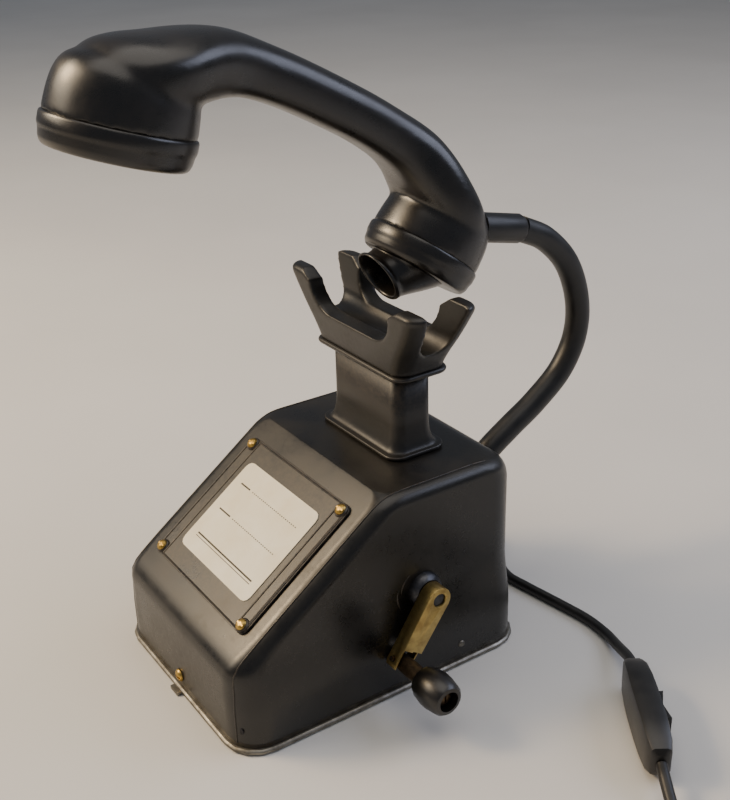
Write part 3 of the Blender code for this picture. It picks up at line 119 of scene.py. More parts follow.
def add(tree, kind, inputs=None, **settings):
    """A shader node with its settings made, and its inputs given a value or another node's socket."""
    node = tree.nodes.new(kind)
    for name, value in settings.items():
        setattr(node, name, value)
    for name, value in (inputs or {}).items():
        if isinstance(value, bpy.types.NodeSocket):
            tree.links.new(value, node.inputs[name])
        else:
            node.inputs[name].default_value = value
    return node


def ramp(tree, factor, stops):
    """A colour ramp through (place, hex colour or grey level) stops."""
    node = add(tree, "ShaderNodeValToRGB", {"Fac": factor})
    edges = node.color_ramp.elements
    while len(edges) < len(stops):
        edges.new(0.5)
    for edge, (place, colour) in zip(edges, stops):
        edge.position = place
        edge.color = linear(colour) if isinstance(colour, str) else (colour, colour, colour, 1)
    return node.outputs["Color"]


def begin(name):
    """A new material: its node tree, its shader, and the surface's own coordinates in millimetres."""
    made = bpy.data.materials.new(name)
    made.use_nodes = True
    tree = made.node_tree
    shader = tree.nodes["Principled BSDF"]
    place = add(tree, "ShaderNodeTexCoord").outputs["Object"]
    in_mm = add(tree, "ShaderNodeVectorMath", {0: place, 1: (1000, 1000, 1000)}, operation="MULTIPLY")
    return made, tree, shader, in_mm.outputs["Vector"]


def noise(tree, vector, size_mm, detail=3.0, rough=0.55):
    """A noise whose blotches are about size_mm across."""
    settings = {"Vector": vector, "Scale": 1 / size_mm, "Detail": detail, "Roughness": rough}
    return add(tree, "ShaderNodeTexNoise", settings).outputs["Fac"]


def relief(tree, shader, height, depth_mm, strength=1.0):
    """Raise and lower the surface by a height from 0 to 1."""
    bump = add(tree, "ShaderNodeBump", {"Height": height, "Distance": depth_mm * MM, "Strength": strength})
    tree.links.new(bump.outputs["Normal"], shader.inputs["Normal"])
    return bump


# %% [markdown]
# ## The lead's rubber
# A lamp lead is PVC or rubber pressed out round its wires. The die leaves a soft satin skin, and handling
# leaves duller patches. A coarse noise in the colour and the roughness gives the patches, and a fine one in
# the relief gives the satin.

# %% Lead rubber


def extruded_rubber(name, colour, shine):
    made, tree, shader, mm = begin(name)
    patches = noise(tree, mm, 9)
    tree.links.new(ramp(tree, patches, ((0.3, colour), (0.75, "#1d1c1b"))), shader.inputs["Base Color"])
    tree.links.new(ramp(tree, patches, ((0.2, shine), (0.8, shine + 0.16))), shader.inputs["Roughness"])
    relief(tree, shader, noise(tree, mm, 0.7), 0.03)
    shader.inputs["IOR"].default_value = 1.52
    return made


lead_rubber = extruded_rubber("extruded_rubber_lead", "#0c0c0c", 0.38)

# %% [markdown]
# ## The lead
# The lead leaves the gland at the back of the base, droops to the table and runs round to the switch.
# Behind the switch it climbs onto the coil that holds the rest of its length, and the plug lies at the
# coil's foot. Its route is a smooth curve through given points; the coil's turns come from a loop.

# %% The lead's route
LEAD_R = 2.7
REST_Z = LEAD_R + 0.1
GLAND = Vector((-46, 104.8, 12.5))
SWITCH_MIDDLE = Vector((156, 79.5, 11.4))
SWITCH_WAY = Vector((0.821, -0.571, 0)).normalized()
SWITCH_HALF = 33
switch_near = SWITCH_MIDDLE - SWITCH_WAY * SWITCH_HALF
switch_far = SWITCH_MIDDLE + SWITCH_WAY * SWITCH_HALF
COIL_MIDDLE = Vector((268, 14, 0))
COIL_R = 30.0
COIL_IN = 90.0
COIL_TURN = 7 * 360 + 123
COIL_PITCH = 2 * LEAD_R + 0.05
coil_top_z = REST_Z + COIL_PITCH * COIL_TURN / 360


def smooth_path(knots, per_span=8):
    """Points on a smooth curve through the knots, none lower than a lead lying on the table."""
    knots = [Vector(k) for k in knots]
    knots = [2 * knots[0] - knots[1]] + knots + [2 * knots[-1] - knots[-2]]
    path = []
    for i in range(1, len(knots) - 2):
        a, b, c, d = knots[i - 1 : i + 3]
        for step in range(per_span):
            t = step / per_span
            path.append(
                0.5
                * (2 * b + (c - a) * t + (2 * a - 5 * b + 4 * c - d) * t**2 + (3 * b - a - 3 * c + d) * t**3)
            )
    path.append(knots[-2])
    return [Vector((p.x, p.y, max(p.z, REST_Z))) for p in path]


def path_length(path):
    return sum((b - a).length for a, b in zip(path, path[1:]))


first_route = (
    GLAND + Vector((0, 0.3, 0)),
    GLAND + Vector((0, 9.3, -0.8)),
    (-41.5, 124.5, 8.5),
    (-31, 131.5, 4.5),
    (-16, 131, REST_Z),
    (-2, 123, REST_Z),
    (11, 114.5, REST_Z),
    (23, 110.8, REST_Z),
    (34.6, 112, REST_Z),
    (48, 114, REST_Z),
    (64, 116.4, REST_Z),
    (79.5, 118, REST_Z),
    (93.5, 116.4, 3.4),
    (106, 111.8, 5.6),
    switch_near - SWITCH_WAY * 10 + Vector((0.4, 0.6, -1.4)),
    switch_near - SWITCH_WAY * 0.6,
)
coil_y = COIL_MIDDLE.y + COIL_R
second_route = (
    switch_far + SWITCH_WAY * 0.6,
    switch_far + SWITCH_WAY * 9 + Vector((0, 0, -1.4)),
    switch_far + SWITCH_WAY * 20 + Vector((0.5, 1, -6)),
    (COIL_MIDDLE.x - 59, coil_y + 2, 3.2),
    (COIL_MIDDLE.x - 46, coil_y + 0.8, 9.5),
    (COIL_MIDDLE.x - 35, coil_y, 21.5),
    (COIL_MIDDLE.x - 25, coil_y, 33),
    (COIL_MIDDLE.x - 15, coil_y, coil_top_z - 2),
    (COIL_MIDDLE.x - 7, coil_y, coil_top_z + 0.2),
)
first_path = smooth_path(first_route)
second_path = smooth_path(second_route)

COIL_STEPS = 28
steps = round(COIL_TURN / 360 * COIL_STEPS)
for step in range(1, steps + 1):
    turned = COIL_TURN * step / steps
    angle = math.radians(COIL_IN - turned)
    second_path.append(
        COIL_MIDDLE
        + Vector((math.cos(angle), math.sin(angle), 0)) * COIL_R
        + Vector((0, 0, coil_top_z - COIL_PITCH * turned / 360))
    )
out_angle = math.radians(COIL_IN - COIL_TURN)
plug_way = Vector((math.sin(out_angle), -math.cos(out_angle), 0))
leaving = second_path[-1]
LAST_RUN = 19.4
for run in (6, 12, LAST_RUN):
    second_path.append(leaving + plug_way * run + Vector((0, 0, 0.6 * (run / LAST_RUN) ** 2)))
print("lead, mm:", round(path_length(first_path)), "and", round(path_length(second_path)))

# %% The lead's two lengths


def round_line(name, path, radius, resolution):
    """A round line of a radius along a path, both in millimetres."""
    curve = bpy.data.curves.new(name, "CURVE")
    curve.dimensions = "3D"
    curve.bevel_depth = radius * MM
    curve.bevel_resolution = resolution
    curve.use_fill_caps = True
    spline = curve.splines.new("POLY")
    spline.points.add(len(path) - 1)
    for dot, point in zip(spline.points, path):
        dot.co = (*(point * MM), 1)
    spline.use_smooth = True
    made = bpy.data.objects.new(name, curve)
    bpy.context.scene.collection.objects.link(made)
    return made


def lead_piece(name, path):
    """A length of the lead along a path."""
    made = round_line(name, path, LEAD_R, 6)
    made.data.materials.append(lead_rubber)
    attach(made, "base")
    return made


lead_to_switch = lead_piece("lead_to_switch", first_path)
lead_to_plug = lead_piece("lead_to_plug", second_path)
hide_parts("mains_lead_1")
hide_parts("mains_lead_2", "cord_coil")

# %% [markdown]
# ## Metals
# A metal's colour is the colour of its reflection, so the metallic value is 1 and the hue sits in the base
# colour. What makes a metal look old is where it is dull: tarnish spreads in soft patches, and fingers keep
# parts bright.

# %% Metals


def worn_metal(name, bright, dull, grain_mm, low, high, stretch=(1, 1, 1)):
    """Metal with tarnish in patches and a fine grain. low and high are its smoothest and roughest."""
    made, tree, shader, mm = begin(name)
    patches = noise(tree, mm, 6, 5, 0.62)
    tree.links.new(ramp(tree, patches, ((0.36, dull), (0.62, bright))), shader.inputs["Base Color"])
    pulled = add(tree, "ShaderNodeVectorMath", {0: mm, 1: stretch}, operation="MULTIPLY").outputs["Vector"]
    grain = noise(tree, pulled, grain_mm, 4)
    mixed = add(tree, "ShaderNodeMath", {0: patches, 1: grain}, operation="MULTIPLY").outputs["Value"]
    tree.links.new(ramp(tree, mixed, ((0.12, high), (0.42, low))), shader.inputs["Roughness"])
    relief(tree, shader, grain, 0.02)
    shader.inputs["Metallic"].default_value = 1.0
    return made


# Rolled brass, once polished: yellow where it is touched, brown where it is not.
aged_brass = worn_metal("aged_rolled_brass", "#c9b06f", "#a98f58", 0.5, 0.27, 0.46)
# Brass screws: a yellower brass with darker tarnish.
screw_brass = worn_metal("turned_brass_screws", "#c9a95f", "#8d7338", 0.3, 0.26, 0.46)
# Nickel-plated bell metal: nearly white with a yellow cast.
bell_metal = worn_metal("plated_bell_metal", "#bfb393", "#8d8268", 0.4, 0.18, 0.4)
# Zinc-plated sheet, rolled along Y: a grey, soft shine with fine lines.
zinc_sheet = worn_metal("zinc_plated_sheet", "#8f8c84", "#6a665e", 0.35, 0.34, 0.55, (1, 0.06, 1))
# Blued and oiled steel, for the works inside.
blued_steel = worn_metal("blued_steel", "#55565a", "#37373a", 0.4, 0.32, 0.55)
# Old bronze-brown turned steel: the crank's stem, its pin and the knob's screw.
browned_steel = worn_metal("browned_turned_steel", "#655541", "#3d332a", 0.35, 0.36, 0.58)
# Painted magnet iron: almost black, coarse.
magnet_iron = worn_metal("cast_magnet_iron", "#3b3b3f", "#252528", 0.8, 0.45, 0.7)
# Copper wire under clear enamel.
wound_copper = worn_metal("enamelled_copper_wire", "#b5683a", "#7f4324", 0.4, 0.25, 0.45)

# %% [markdown]
# ## Black stove enamel
# The housing is pressed steel, sprayed black and baked. The coat is glossy but not flat: it dries with a
# faint orange peel. Decades of hands have dulled it, dust sits on what faces up, and on sharp edges the
# coat has thinned to brown. Pointiness, which is high on a convex edge, says where that wear goes.

# %% Black stove enamel


def stove_enamel(name, wear_from, wear_to, shine, dust=0.35):
    """Baked black enamel. Wear shows where pointiness lies between wear_from and wear_to."""
    made, tree, shader, mm = begin(name)
    clouds = noise(tree, mm, 26, 4, 0.6)
    fine = noise(tree, mm, 2.2, 5, 0.7)
    coat = ramp(tree, clouds, ((0.32, "#0e0d0c"), (0.7, "#191714")))
    geometry = add(tree, "ShaderNodeNewGeometry")
    edge = ramp(tree, geometry.outputs["Pointiness"], ((wear_from, 0.0), (wear_to, 1.0)))
    broken = ramp(tree, fine, ((0.38, 0.0), (0.66, 1.0)))
    wear = add(tree, "ShaderNodeMath", {0: edge, 1: broken}, operation="MULTIPLY").outputs["Value"]
    worn = add(tree, "ShaderNodeMix", {0: wear, 6: coat, 7: linear("#4a4034")}, data_type="RGBA")
    facing = add(tree, "ShaderNodeSeparateXYZ", {"Vector": geometry.outputs["Normal"]}).outputs["Z"]
    lying = ramp(tree, facing, ((0.3, 0.0), (0.95, 1.0)))
    patchy = ramp(tree, clouds, ((0.3, 0.2), (0.7, 1.0)))
    settled = add(tree, "ShaderNodeMath", {0: lying, 1: patchy}, operation="MULTIPLY")
    thin = add(tree, "ShaderNodeMath", {0: settled.outputs["Value"], 1: dust * 0.1}, operation="MULTIPLY")
    layers = {0: thin.outputs["Value"], 6: worn.outputs[2], 7: linear("#8d8779")}
    dusty = add(tree, "ShaderNodeMix", layers, data_type="RGBA")
    tree.links.new(dusty.outputs[2], shader.inputs["Base Color"])
    haze = add(tree, "ShaderNodeMath", {0: clouds, 1: fine}, operation="MULTIPLY").outputs["Value"]
    shine_map = ramp(tree, haze, ((0.08, shine), (0.45, shine + 0.2)))
    rougher = add(tree, "ShaderNodeMath", {0: settled.outputs["Value"], 1: dust * 0.2}, operation="MULTIPLY")
    total = add(tree, "ShaderNodeMath", {0: shine_map, 1: rougher.outputs["Value"]}, operation="ADD")
    tree.links.new(total.outputs["Value"], shader.inputs["Roughness"])
    relief(tree, shader, noise(tree, mm, 1.6, 2), 0.02, 0.6)
    shader.inputs["IOR"].default_value = 1.5
    shader.inputs["Specular IOR Level"].default_value = 0.55
    return made


housing_enamel = stove_enamel("black_stove_enamel", 0.53, 0.6, 0.22)
casting_enamel = stove_enamel("black_enamelled_casting", 0.52, 0.58, 0.3, 0.15)

# %% [markdown]
# ## Phenolic moulding
# The handset is phenolic resin pressed in a hot, polished mould. New, it is a deep black mirror. Old, the
# skin has a brown cast and a web of hair scratches that spreads each highlight.

# %% Phenolic moulding


def phenolic(name, shine, cast):
    made, tree, shader, mm = begin(name)
    flow = noise(tree, mm, 14, 4, 0.6)
    tree.links.new(ramp(tree, flow, ((0.3, "#0a0908"), (0.75, cast))), shader.inputs["Base Color"])
    stretch = {0: mm, 1: (1.0, 0.12, 1.0)}
    pulled = add(tree, "ShaderNodeVectorMath", stretch, operation="MULTIPLY").outputs["Vector"]
    hair = noise(tree, pulled, 0.5, 5, 0.7)
    handled = add(tree, "ShaderNodeMath", {0: flow, 1: hair}, operation="MULTIPLY").outputs["Value"]
    tree.links.new(ramp(tree, handled, ((0.1, shine), (0.45, shine + 0.16))), shader.inputs["Roughness"])
    relief(tree, shader, noise(tree, mm, 7, 1), 0.05, 0.35)
    shader.inputs["IOR"].default_value = 1.6
    return made


polished_phenolic = phenolic("polished_phenolic", 0.24, "#17120f")
dull_phenolic = phenolic("handled_phenolic", 0.28, "#1a1613")
moulded_switch = phenolic("moulded_switch_plastic", 0.34, "#1c1b1a")

# %% [markdown]
# ## Sleeve, paper, glass and ceramic
# The arm is a steel gooseneck in a black plastic sleeve. The card is old paper. The lamp's glass is frosted
# inside, so it is a pale, warm, milky surface and not a clear one.

# %% Sleeve, paper, glass and ceramic
arm_sleeve = extruded_rubber("satin_plastic_sleeve", "#0b0b0c", 0.34)


def aged_paper(name):
    made, tree, shader, mm = begin(name)
    spread = noise(tree, mm, 16, 5, 0.6)
    tree.links.new(ramp(tree, spread, ((0.3, "#f6f0dd"), (0.72, "#ebe1c4"))), shader.inputs["Base Color"])
    relief(tree, shader, noise(tree, mm, 0.4), 0.02)
    shader.inputs["Roughness"].default_value = 0.62
    return made


card_stock = aged_paper("aged_card_stock")


def printed_ink(name):
    made, tree, shader, mm = begin(name)
    dots = noise(tree, mm, 0.5)
    tree.links.new(ramp(tree, dots, ((0.3, "#1d1a17"), (0.8, "#4b443a"))), shader.inputs["Base Color"])
    shader.inputs["Roughness"].default_value = 0.7
    return made


black_ink = printed_ink("letterpress_ink")


def frosted_glass(name):
    made, tree, shader, mm = begin(name)
    milk = noise(tree, mm, 5)
    tree.links.new(ramp(tree, milk, ((0.3, "#efe8d6"), (0.8, "#fbf4e2"))), shader.inputs["Base Color"])
    shader.inputs["Roughness"].default_value = 0.22
    shader.inputs["IOR"].default_value = 1.5
    shader.inputs["Subsurface Weight"].default_value = 0.3
    shader.inputs["Subsurface Radius"].default_value = (0.004, 0.003, 0.002)
    relief(tree, shader, noise(tree, mm, 0.6), 0.02)
    return made


lamp_glass = frosted_glass("frosted_lamp_glass")


def glazed(name):
    made, tree, shader, mm = begin(name)
    glaze = ramp(tree, noise(tree, mm, 4), ((0.3, "#d9d2c2"), (0.8, "#efe9dc")))
    tree.links.new(glaze, shader.inputs["Base Color"])
    tree.links.new(ramp(tree, noise(tree, mm, 8), ((0.3, 0.15), (0.8, 0.35))), shader.inputs["Roughness"])
    return made


glazed_ceramic = glazed("glazed_lamp_ceramic")

# %% [markdown]
# ## Dressing the CAD's own pieces
# Each node keeps its shape. On a few, a slim bevel catches light on edges that no tool leaves truly sharp.
# Shading is smooth except across real corners.

# %% Dress the nodes
WEARS = (
    # a surface and the nodes that have it; what isn't named here is blued steel
    (zinc_sheet, "base_plate capacitor"),
    (housing_enamel, "housing number_plate"),
    (card_stock, "number_card"),
    (screw_brass, "latch_screw plate_screw_1 plate_screw_2 plate_screw_3 plate_screw_4"),
    (casting_enamel, "pedestal cradle_fork"),
    (aged_brass, "crank_arm drive_gear contact_springs hook_blade"),
    (browned_steel, "fold_pin crank_stem knob_screw"),
    (dull_phenolic, "crank_knob terminal_block"),
    (wound_copper, "armature ringer_coil_1 ringer_coil_2 induction_coil"),
    (magnet_iron, "magnet_1 magnet_2"),
    (bell_metal, "gong_1 gong_2"),
    (polished_phenolic, "handset_body ear_cap mouth_cap mouthpiece"),
    (glazed_ceramic, "lamp_holder"),
    (lamp_glass, "bulb"),
    (arm_sleeve, "gooseneck_boot neck_root neck_low neck_middle neck_top"),
    (lead_rubber, "cord_gland"),
    (moulded_switch, "plug switch_body switch_rocker"),
)
dress = {name: surface for surface, names in WEARS for name in names.split()}
SHARP = math.radians(36)


def soften(piece, width_mm=0.0):
    """Join a mesh's loose corners, round its sharp edges a little and shade it smooth between the rest."""
    mesh = piece.data
    for extra in [a for a in mesh.attributes if a.name == "custom_normal"]:
        mesh.attributes.remove(extra)
    mesh.polygons.foreach_set("use_smooth", [True] * len(mesh.polygons))
    weld = piece.modifiers.new("join_corners", "WELD")
    weld.merge_threshold = 0.002 * MM
    if width_mm:
        edge = piece.modifiers.new("soft_edges", "BEVEL")
        edge.width = width_mm * MM
        edge.segments = 2
        edge.limit_method = "ANGLE"
        edge.angle_limit = SHARP
    split = piece.modifiers.new("keep_corners", "EDGE_SPLIT")
    split.split_angle = SHARP
    return piece


slim_edges = {"crank_arm": 0.35, "base_plate": 0.3, "number_plate": 0.2, "plug": 0.6, "terminal_block": 0.5}
for name, node in nodes.items():
    surface = dress.get(name, blued_steel)
    for holder in node.material_slots:
        holder.material = surface
    if not node.material_slots:
        node.data.materials.append(surface)
    soften(node, slim_edges.get(name, 0.0))
print("dressed:", len(nodes))

# %% [markdown]
# ## Tools for shapes
# Most pieces here are a skin over rings of points, or a profile turned about an axis. Two functions make
# them from sizes in millimetres, and a third fuses several into one smooth body, as a casting or a moulding
# is.

# %% Shape tools


def mesh_piece(name, points, faces, material=None, body=None, slot=None, replaced=()):
    """A mesh from points in millimetres. Given a body, it becomes a finished piece that rides on it."""
    mesh = bpy.data.meshes.new(name)
    mesh.from_pydata([Vector(p) * MM for p in points], [], faces)
    shape = bmesh.new()
    shape.from_mesh(mesh)
    bmesh.ops.recalc_face_normals(shape, faces=shape.faces)
    shape.to_mesh(mesh)
    shape.free()
    mesh.polygons.foreach_set("use_smooth", [True] * len(mesh.polygons))
    piece = bpy.data.objects.new(name, mesh)
    bpy.context.scene.collection.objects.link(piece)
    if body:
        finish(piece, material, body, slot, *replaced)
    return piece


def finish(piece, material, body, slot, *replaced):
    """Give a piece its material, its body and the nodes it takes the place of. The slot argument is not used.
    """
    piece.data.materials.clear()
    piece.data.materials.append(material)
    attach(piece, body)
    if replaced:
        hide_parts(*replaced)


def skin(rings, closed_start=True, closed_end=True):
    """Points and faces of a skin over rings of equally many points."""
    count = len(rings[0])
    points = [tuple(p) for ring in rings for p in ring]
    faces = []
    for level in range(len(rings) - 1):
        for i in range(count):
            j = (i + 1) % count
            low, high = level * count, (level + 1) * count
            faces.append((low + i, low + j, high + j, high + i))
    if closed_start:
        faces.append(tuple(range(count)))
    if closed_end:
        faces.append(tuple(range((len(rings) - 1) * count, len(rings) * count)))
    return points, faces


def lathe(profile, foot=(0, 0, 0), axis=(0, 0, 1), steps=72):
    """Points and faces of a (radius, height) profile turned about an axis. A closed one makes a ring."""
    turn = Vector((0, 0, 1)).rotation_difference(Vector(axis)).to_matrix()
    hollow = profile[0][0] > 0 and profile[-1][0] > 0
    rings = []
    for radius, height in profile:
        ring = []
        for step in range(steps):
            angle = 2 * math.pi * step / steps
            spot = Vector((max(radius, 0.01) * math.cos(angle), max(radius, 0.01) * math.sin(angle), height))
            ring.append(Vector(foot) + turn @ spot)
        rings.append(ring)
    if hollow:
        rings.append(rings[0])
    return skin(rings, not hollow, not hollow)


def fuse(name, parts, grain_mm, rounds, cutters=()):
    """One closed body from overlapping ones less the cutters, its edges and joints blended by smoothing."""
    shape = bmesh.new()
    for points, faces in parts:
        made = [shape.verts.new(Vector(p) * MM) for p in points]
        for face in faces:
            shape.faces.new([made[i] for i in face])
    bmesh.ops.recalc_face_normals(shape, faces=shape.faces)
    mesh = bpy.data.meshes.new(name + "_rough")
    shape.to_mesh(mesh)
    shape.free()
    rough = bpy.data.objects.new(name + "_rough", mesh)
    bpy.context.scene.collection.objects.link(rough)
    for number, (points, faces) in enumerate(cutters):
        cut = rough.modifiers.new("cut", "BOOLEAN")
        cut.object = mesh_piece(f"{name}_cutter_{number}", points, faces)
        cut.solver = "EXACT"
    cells = rough.modifiers.new("cells", "REMESH")
    cells.mode = "VOXEL"
    cells.voxel_size = grain_mm * MM
    cells.use_smooth_shade = True
    calm = rough.modifiers.new("calm", "SMOOTH")
    calm.factor = 0.5
    calm.iterations = rounds
    bpy.context.view_layer.update()
    graph = bpy.context.evaluated_depsgraph_get()
    whole = bpy.data.objects.new(name, bpy.data.meshes.new_from_object(rough.evaluated_get(graph)))
    bpy.context.scene.collection.objects.link(whole)
    for modifier in rough.modifiers:
        if modifier.type == "BOOLEAN":
            bpy.data.objects.remove(modifier.object)
    bpy.data.objects.remove(rough)
    whole.data.polygons.foreach_set("use_smooth", [True] * len(whole.data.polygons))
    print(name, "vertices:", len(whole.data.vertices))
    return whole


def rounded_ring(half_x, front, back, front_r, back_r, z, steps=14):
    """A rounded rectangle at a height. Each radius is a pair, along X and along Y."""
    ring = []
    corners = (
        (half_x - back_r[0], back - back_r[1], back_r, 0),
        (-half_x + back_r[0], back - back_r[1], back_r, 90),
        (-half_x + front_r[0], front + front_r[1], front_r, 180),
        (half_x - front_r[0], front + front_r[1], front_r, 270),
    )
    for x, y, (rx, ry), start in corners:
        for step in range(steps + 1):
            angle = math.radians(start + 90 * step / steps)
            ring.append((x + rx * math.cos(angle), y + ry * math.sin(angle), z))
    return ring


# %% [markdown]
# ## Housing
# The housing is one pressing: a wide foot, sides drawn in above it, a sloping front and rounded top edges.
# As rings at many heights, each edge radius follows a circle's formula, so the light slides round it as on
# the pressing.

# %% Housing
HOUSE_X, HOUSE_Y, HOUSE_TOP = 65.0, 82.5, 106.5
TOP_X = 61.0
WALL_TOP, SLOPE_BACK = 43.4, 3.0
TOP_EDGE, BACK_EDGE = 6.5, 14.0
FOOT_CORNER, REAR_CORNER = 17, 16
TOP_CORNER = (9, 13)
SHEET = 1.2
SLOPE = math.atan2(HOUSE_TOP - WALL_TOP, SLOPE_BACK + HOUSE_Y)


def ease(low, high, value):
    """A smooth step from 0 to 1 between two values."""
    t = min(1.0, max(0.0, (value - low) / (high - low)))
    return t * t * (3 - 2 * t)


def house_ring(z):
    """The housing's outline at a height."""
    half_x = HOUSE_X + (TOP_X - HOUSE_X) * ease(20, 52, z)
    over = z - (HOUSE_TOP - TOP_EDGE)
    if over > 0:
        half_x -= TOP_EDGE - math.sqrt(max(0.0, TOP_EDGE**2 - over**2))
    rear = HOUSE_Y
    over = z - (HOUSE_TOP - BACK_EDGE)
    if over > 0:
        rear -= BACK_EDGE - math.sqrt(max(0.0, BACK_EDGE**2 - over**2))
    knee = 5.0
    reach = z - WALL_TOP
    if abs(reach) < knee:
        reach = (reach + knee) ** 2 / (4 * knee)
    front = -HOUSE_Y + max(0.0, reach) / math.tan(SLOPE)
    turn = ease(WALL_TOP - 16, WALL_TOP + 14, z)
    corner = [FOOT_CORNER + (top - FOOT_CORNER) * turn for top in TOP_CORNER]
    return rounded_ring(half_x, front, rear, corner, (REAR_CORNER, REAR_CORNER), z)


heights = [3.3] + [6 + 2.0 * k for k in range(46)]
heights += [97 + 0.5 * k for k in range(19)] + [106.2, 106.4, HOUSE_TOP]
heights = sorted({round(z, 2) for z in heights if z <= HOUSE_TOP})
points, faces = skin([house_ring(z) for z in heights], closed_start=False)
housing_shell = mesh_piece(
    "pressed_housing", points, faces, housing_enamel, "base", "black_lacquer", ("housing",)
)
sheet = housing_shell.modifiers.new("sheet", "SOLIDIFY")
sheet.thickness = SHEET * MM
sheet.offset = -1
print("housing rings:", len(heights))

# %% [markdown]
# ## Seams
# The front and top are one strip of steel let in between two drawn sides. Its folded joints show as a fine
# raised line that light catches. Each line is found by casting rays at the housing, so it lies exactly on
# it.

# %% Seams
SEAM_X = 55.4
SEAM_R = 0.42
bpy.context.view_layer.update()
hull = BVHTree.FromObject(housing_shell, bpy.context.evaluated_depsgraph_get())
slope_out = Vector((0, -math.sin(SLOPE), math.cos(SLOPE)))


def on_housing(outside, direction):
    """Where a ray from outside meets the housing, in millimetres."""
    spot = hull.ray_cast(Vector(outside) * MM, Vector(direction))[0]
    return spot / MM


def seam_line(name, side):
    x = side * SEAM_X
    path = [on_housing((x, -150, z), (0, 1, 0)) for z in (5, 10, 16, 22, 28, 33, 37)]
    for share in range(0, 25):
        y = -HOUSE_Y + 1 + (SLOPE_BACK + HOUSE_Y) * share / 24
        on_slope = Vector((x, y, WALL_TOP + (y + HOUSE_Y) * math.tan(SLOPE)))
        path.append(on_housing(on_slope + slope_out * 40, -slope_out))
    for y in (8, 14, 22, 32, 44, 56, 64):
        path.append(on_housing((x, y, 150), (0, 0, -1)))
    finish(round_line(name, path, SEAM_R, 2), housing_enamel, "base", "black_lacquer")


seam_line("seam_right", 1)
seam_line("seam_left", -1)

# %% [markdown]
# ## Rivet and drain hole
# Low on the crank side a plain steel rivet holds an inner bracket. Near the front corner a small dark disc is
# painted shade: it stands in for the shadowed inside of the hole that lets the enamel run off. Each is placed
# by a ray cast at the wall, so it sits on it.

# %% Rivet and drain hole
rivet_spot = on_housing((150, 43.2, 11.8), (-1, 0, 0))
rivet_profile = [(0, 1.0), (0.9, 0.9), (1.6, 0.5), (1.9, 0), (1.9, -0.3), (0, -0.3)]
points, faces = lathe(rivet_profile, rivet_spot, (1, 0, 0), 24)
mesh_piece("side_rivet", points, faces, zinc_sheet, "base", "black_lacquer")
hole_spot = on_housing((57.5, -150, 12.5), (0, 1, 0))
# The drain hole is a thin dark disc on the wall, painted shade in place of the hole's shadowed inside.
hole_shade_disc_profile = [(0, 0.12), (1.5, 0.12), (1.9, 0.02), (1.9, -0.3), (0, -0.3)]
points, faces = lathe(hole_shade_disc_profile, hole_spot, (0.3, -1, 0), 24)
mesh_piece("drain_hole_painted_shade", points, faces, magnet_iron, "base", "black_lacquer")

# %% [markdown]
# ## Tool marks
# Beside the crank's bush the tool that pressed it in left two crescent marks. Each is a thin raised
# crescent that follows the wall.

# %% Tool marks
CRANK_Y, CRANK_Z = 22.4, 51.5
for turn, away in ((150, 13.5), (185, 15.5)):
    mark = []
    for step in range(13):
        angle = math.radians(turn - 22 + 44 * step / 12)
        wide = 0.55 * math.sin(math.pi * step / 12) + 0.05
        row = []
        for side, lift in ((-1, -0.05), (0, 0.28), (1, -0.05)):
            out = away + side * wide
            place = (150, CRANK_Y + out * math.cos(angle), CRANK_Z + out * math.sin(angle))
            row.append(on_housing(place, (-1, 0, 0)) + Vector((lift, 0, 0)))
        mark.append(row)
    rings = [ring + [ring[1] - Vector((0.6, 0, 0))] for ring in mark]
    points, faces = skin(rings)
    mesh_piece(f"tool_mark_{turn}", points, faces, housing_enamel, "base", "black_lacquer")

# %% [markdown]
# ## Pedestal
# A casting with a raised lip round its foot, a sweep up into the column, and straight sides under the
# cradle. The real one is hollow, and only its outside is made here. The sweep is a quarter ellipse between
# two outlines.

# %% Pedestal
PED_Y = 41.6
FOOT_Z = 106.8


def column_ring(half_x, half_y, radius, z):
    return rounded_ring(half_x, PED_Y - half_y, PED_Y + half_y, (radius, radius), (radius, radius), z, 10)


rings = [column_ring(33.4, 16.4, 8, FOOT_Z)]
for step in range(9):
    angle = math.pi * step / 8 - math.pi / 2
    grow = 0.6 * math.cos(angle)
    rings.append(column_ring(33.4 + grow, 16.4 + grow, 8, FOOT_Z + 1.2 + 0.9 * math.sin(angle)))
for step in range(13):
    angle = math.pi / 2 * step / 12
    draw = 1 - math.sin(angle)
    climb = 1 - math.cos(angle)
    rings.append(column_ring(29.2 + 3.0 * draw, 11.0 + 4.2 * draw, 6 + 1.4 * draw, FOOT_Z + 2.2 + 13 * climb))
rings.append(column_ring(29, 11, 6, 151.8))
points, faces = skin(rings)
mesh_piece("cast_pedestal", points, faces, casting_enamel, "base", "black_lacquer", ("pedestal",))
print("pedestal rings:", len(rings))

# %% [markdown]
# ## Cradle
# Four horns rise from the cradle's corners and curve outward, with smooth valleys between them for the
# grip. The casting is one flaring body with two rounded valleys cut across it, and a recess underneath that
# clears the pedestal. Smoothing then gives every edge the soft radius that a casting needs, so that it
# leaves its mould.

# %% Cradle
FLARE = (
    # half length, half width, corner radius, height
    (36.4, 14.8, 7.4, 151.6), (36.8, 15.0, 7.6, 153.5), (38.6, 15.6, 8.0, 157.0), (41.8, 16.4, 8.6, 162.0),
    (45.2, 17.2, 8.8, 167.0), (48.6, 18.0, 8.8, 172.5), (51.6, 18.8, 8.6, 178.0), (54.0, 19.4, 8.4, 182.6),
    (55.2, 19.6, 8.2, 185.2), (54.8, 18.8, 7.8, 186.8), (52.8, 17.2, 7.0, 187.8),
)


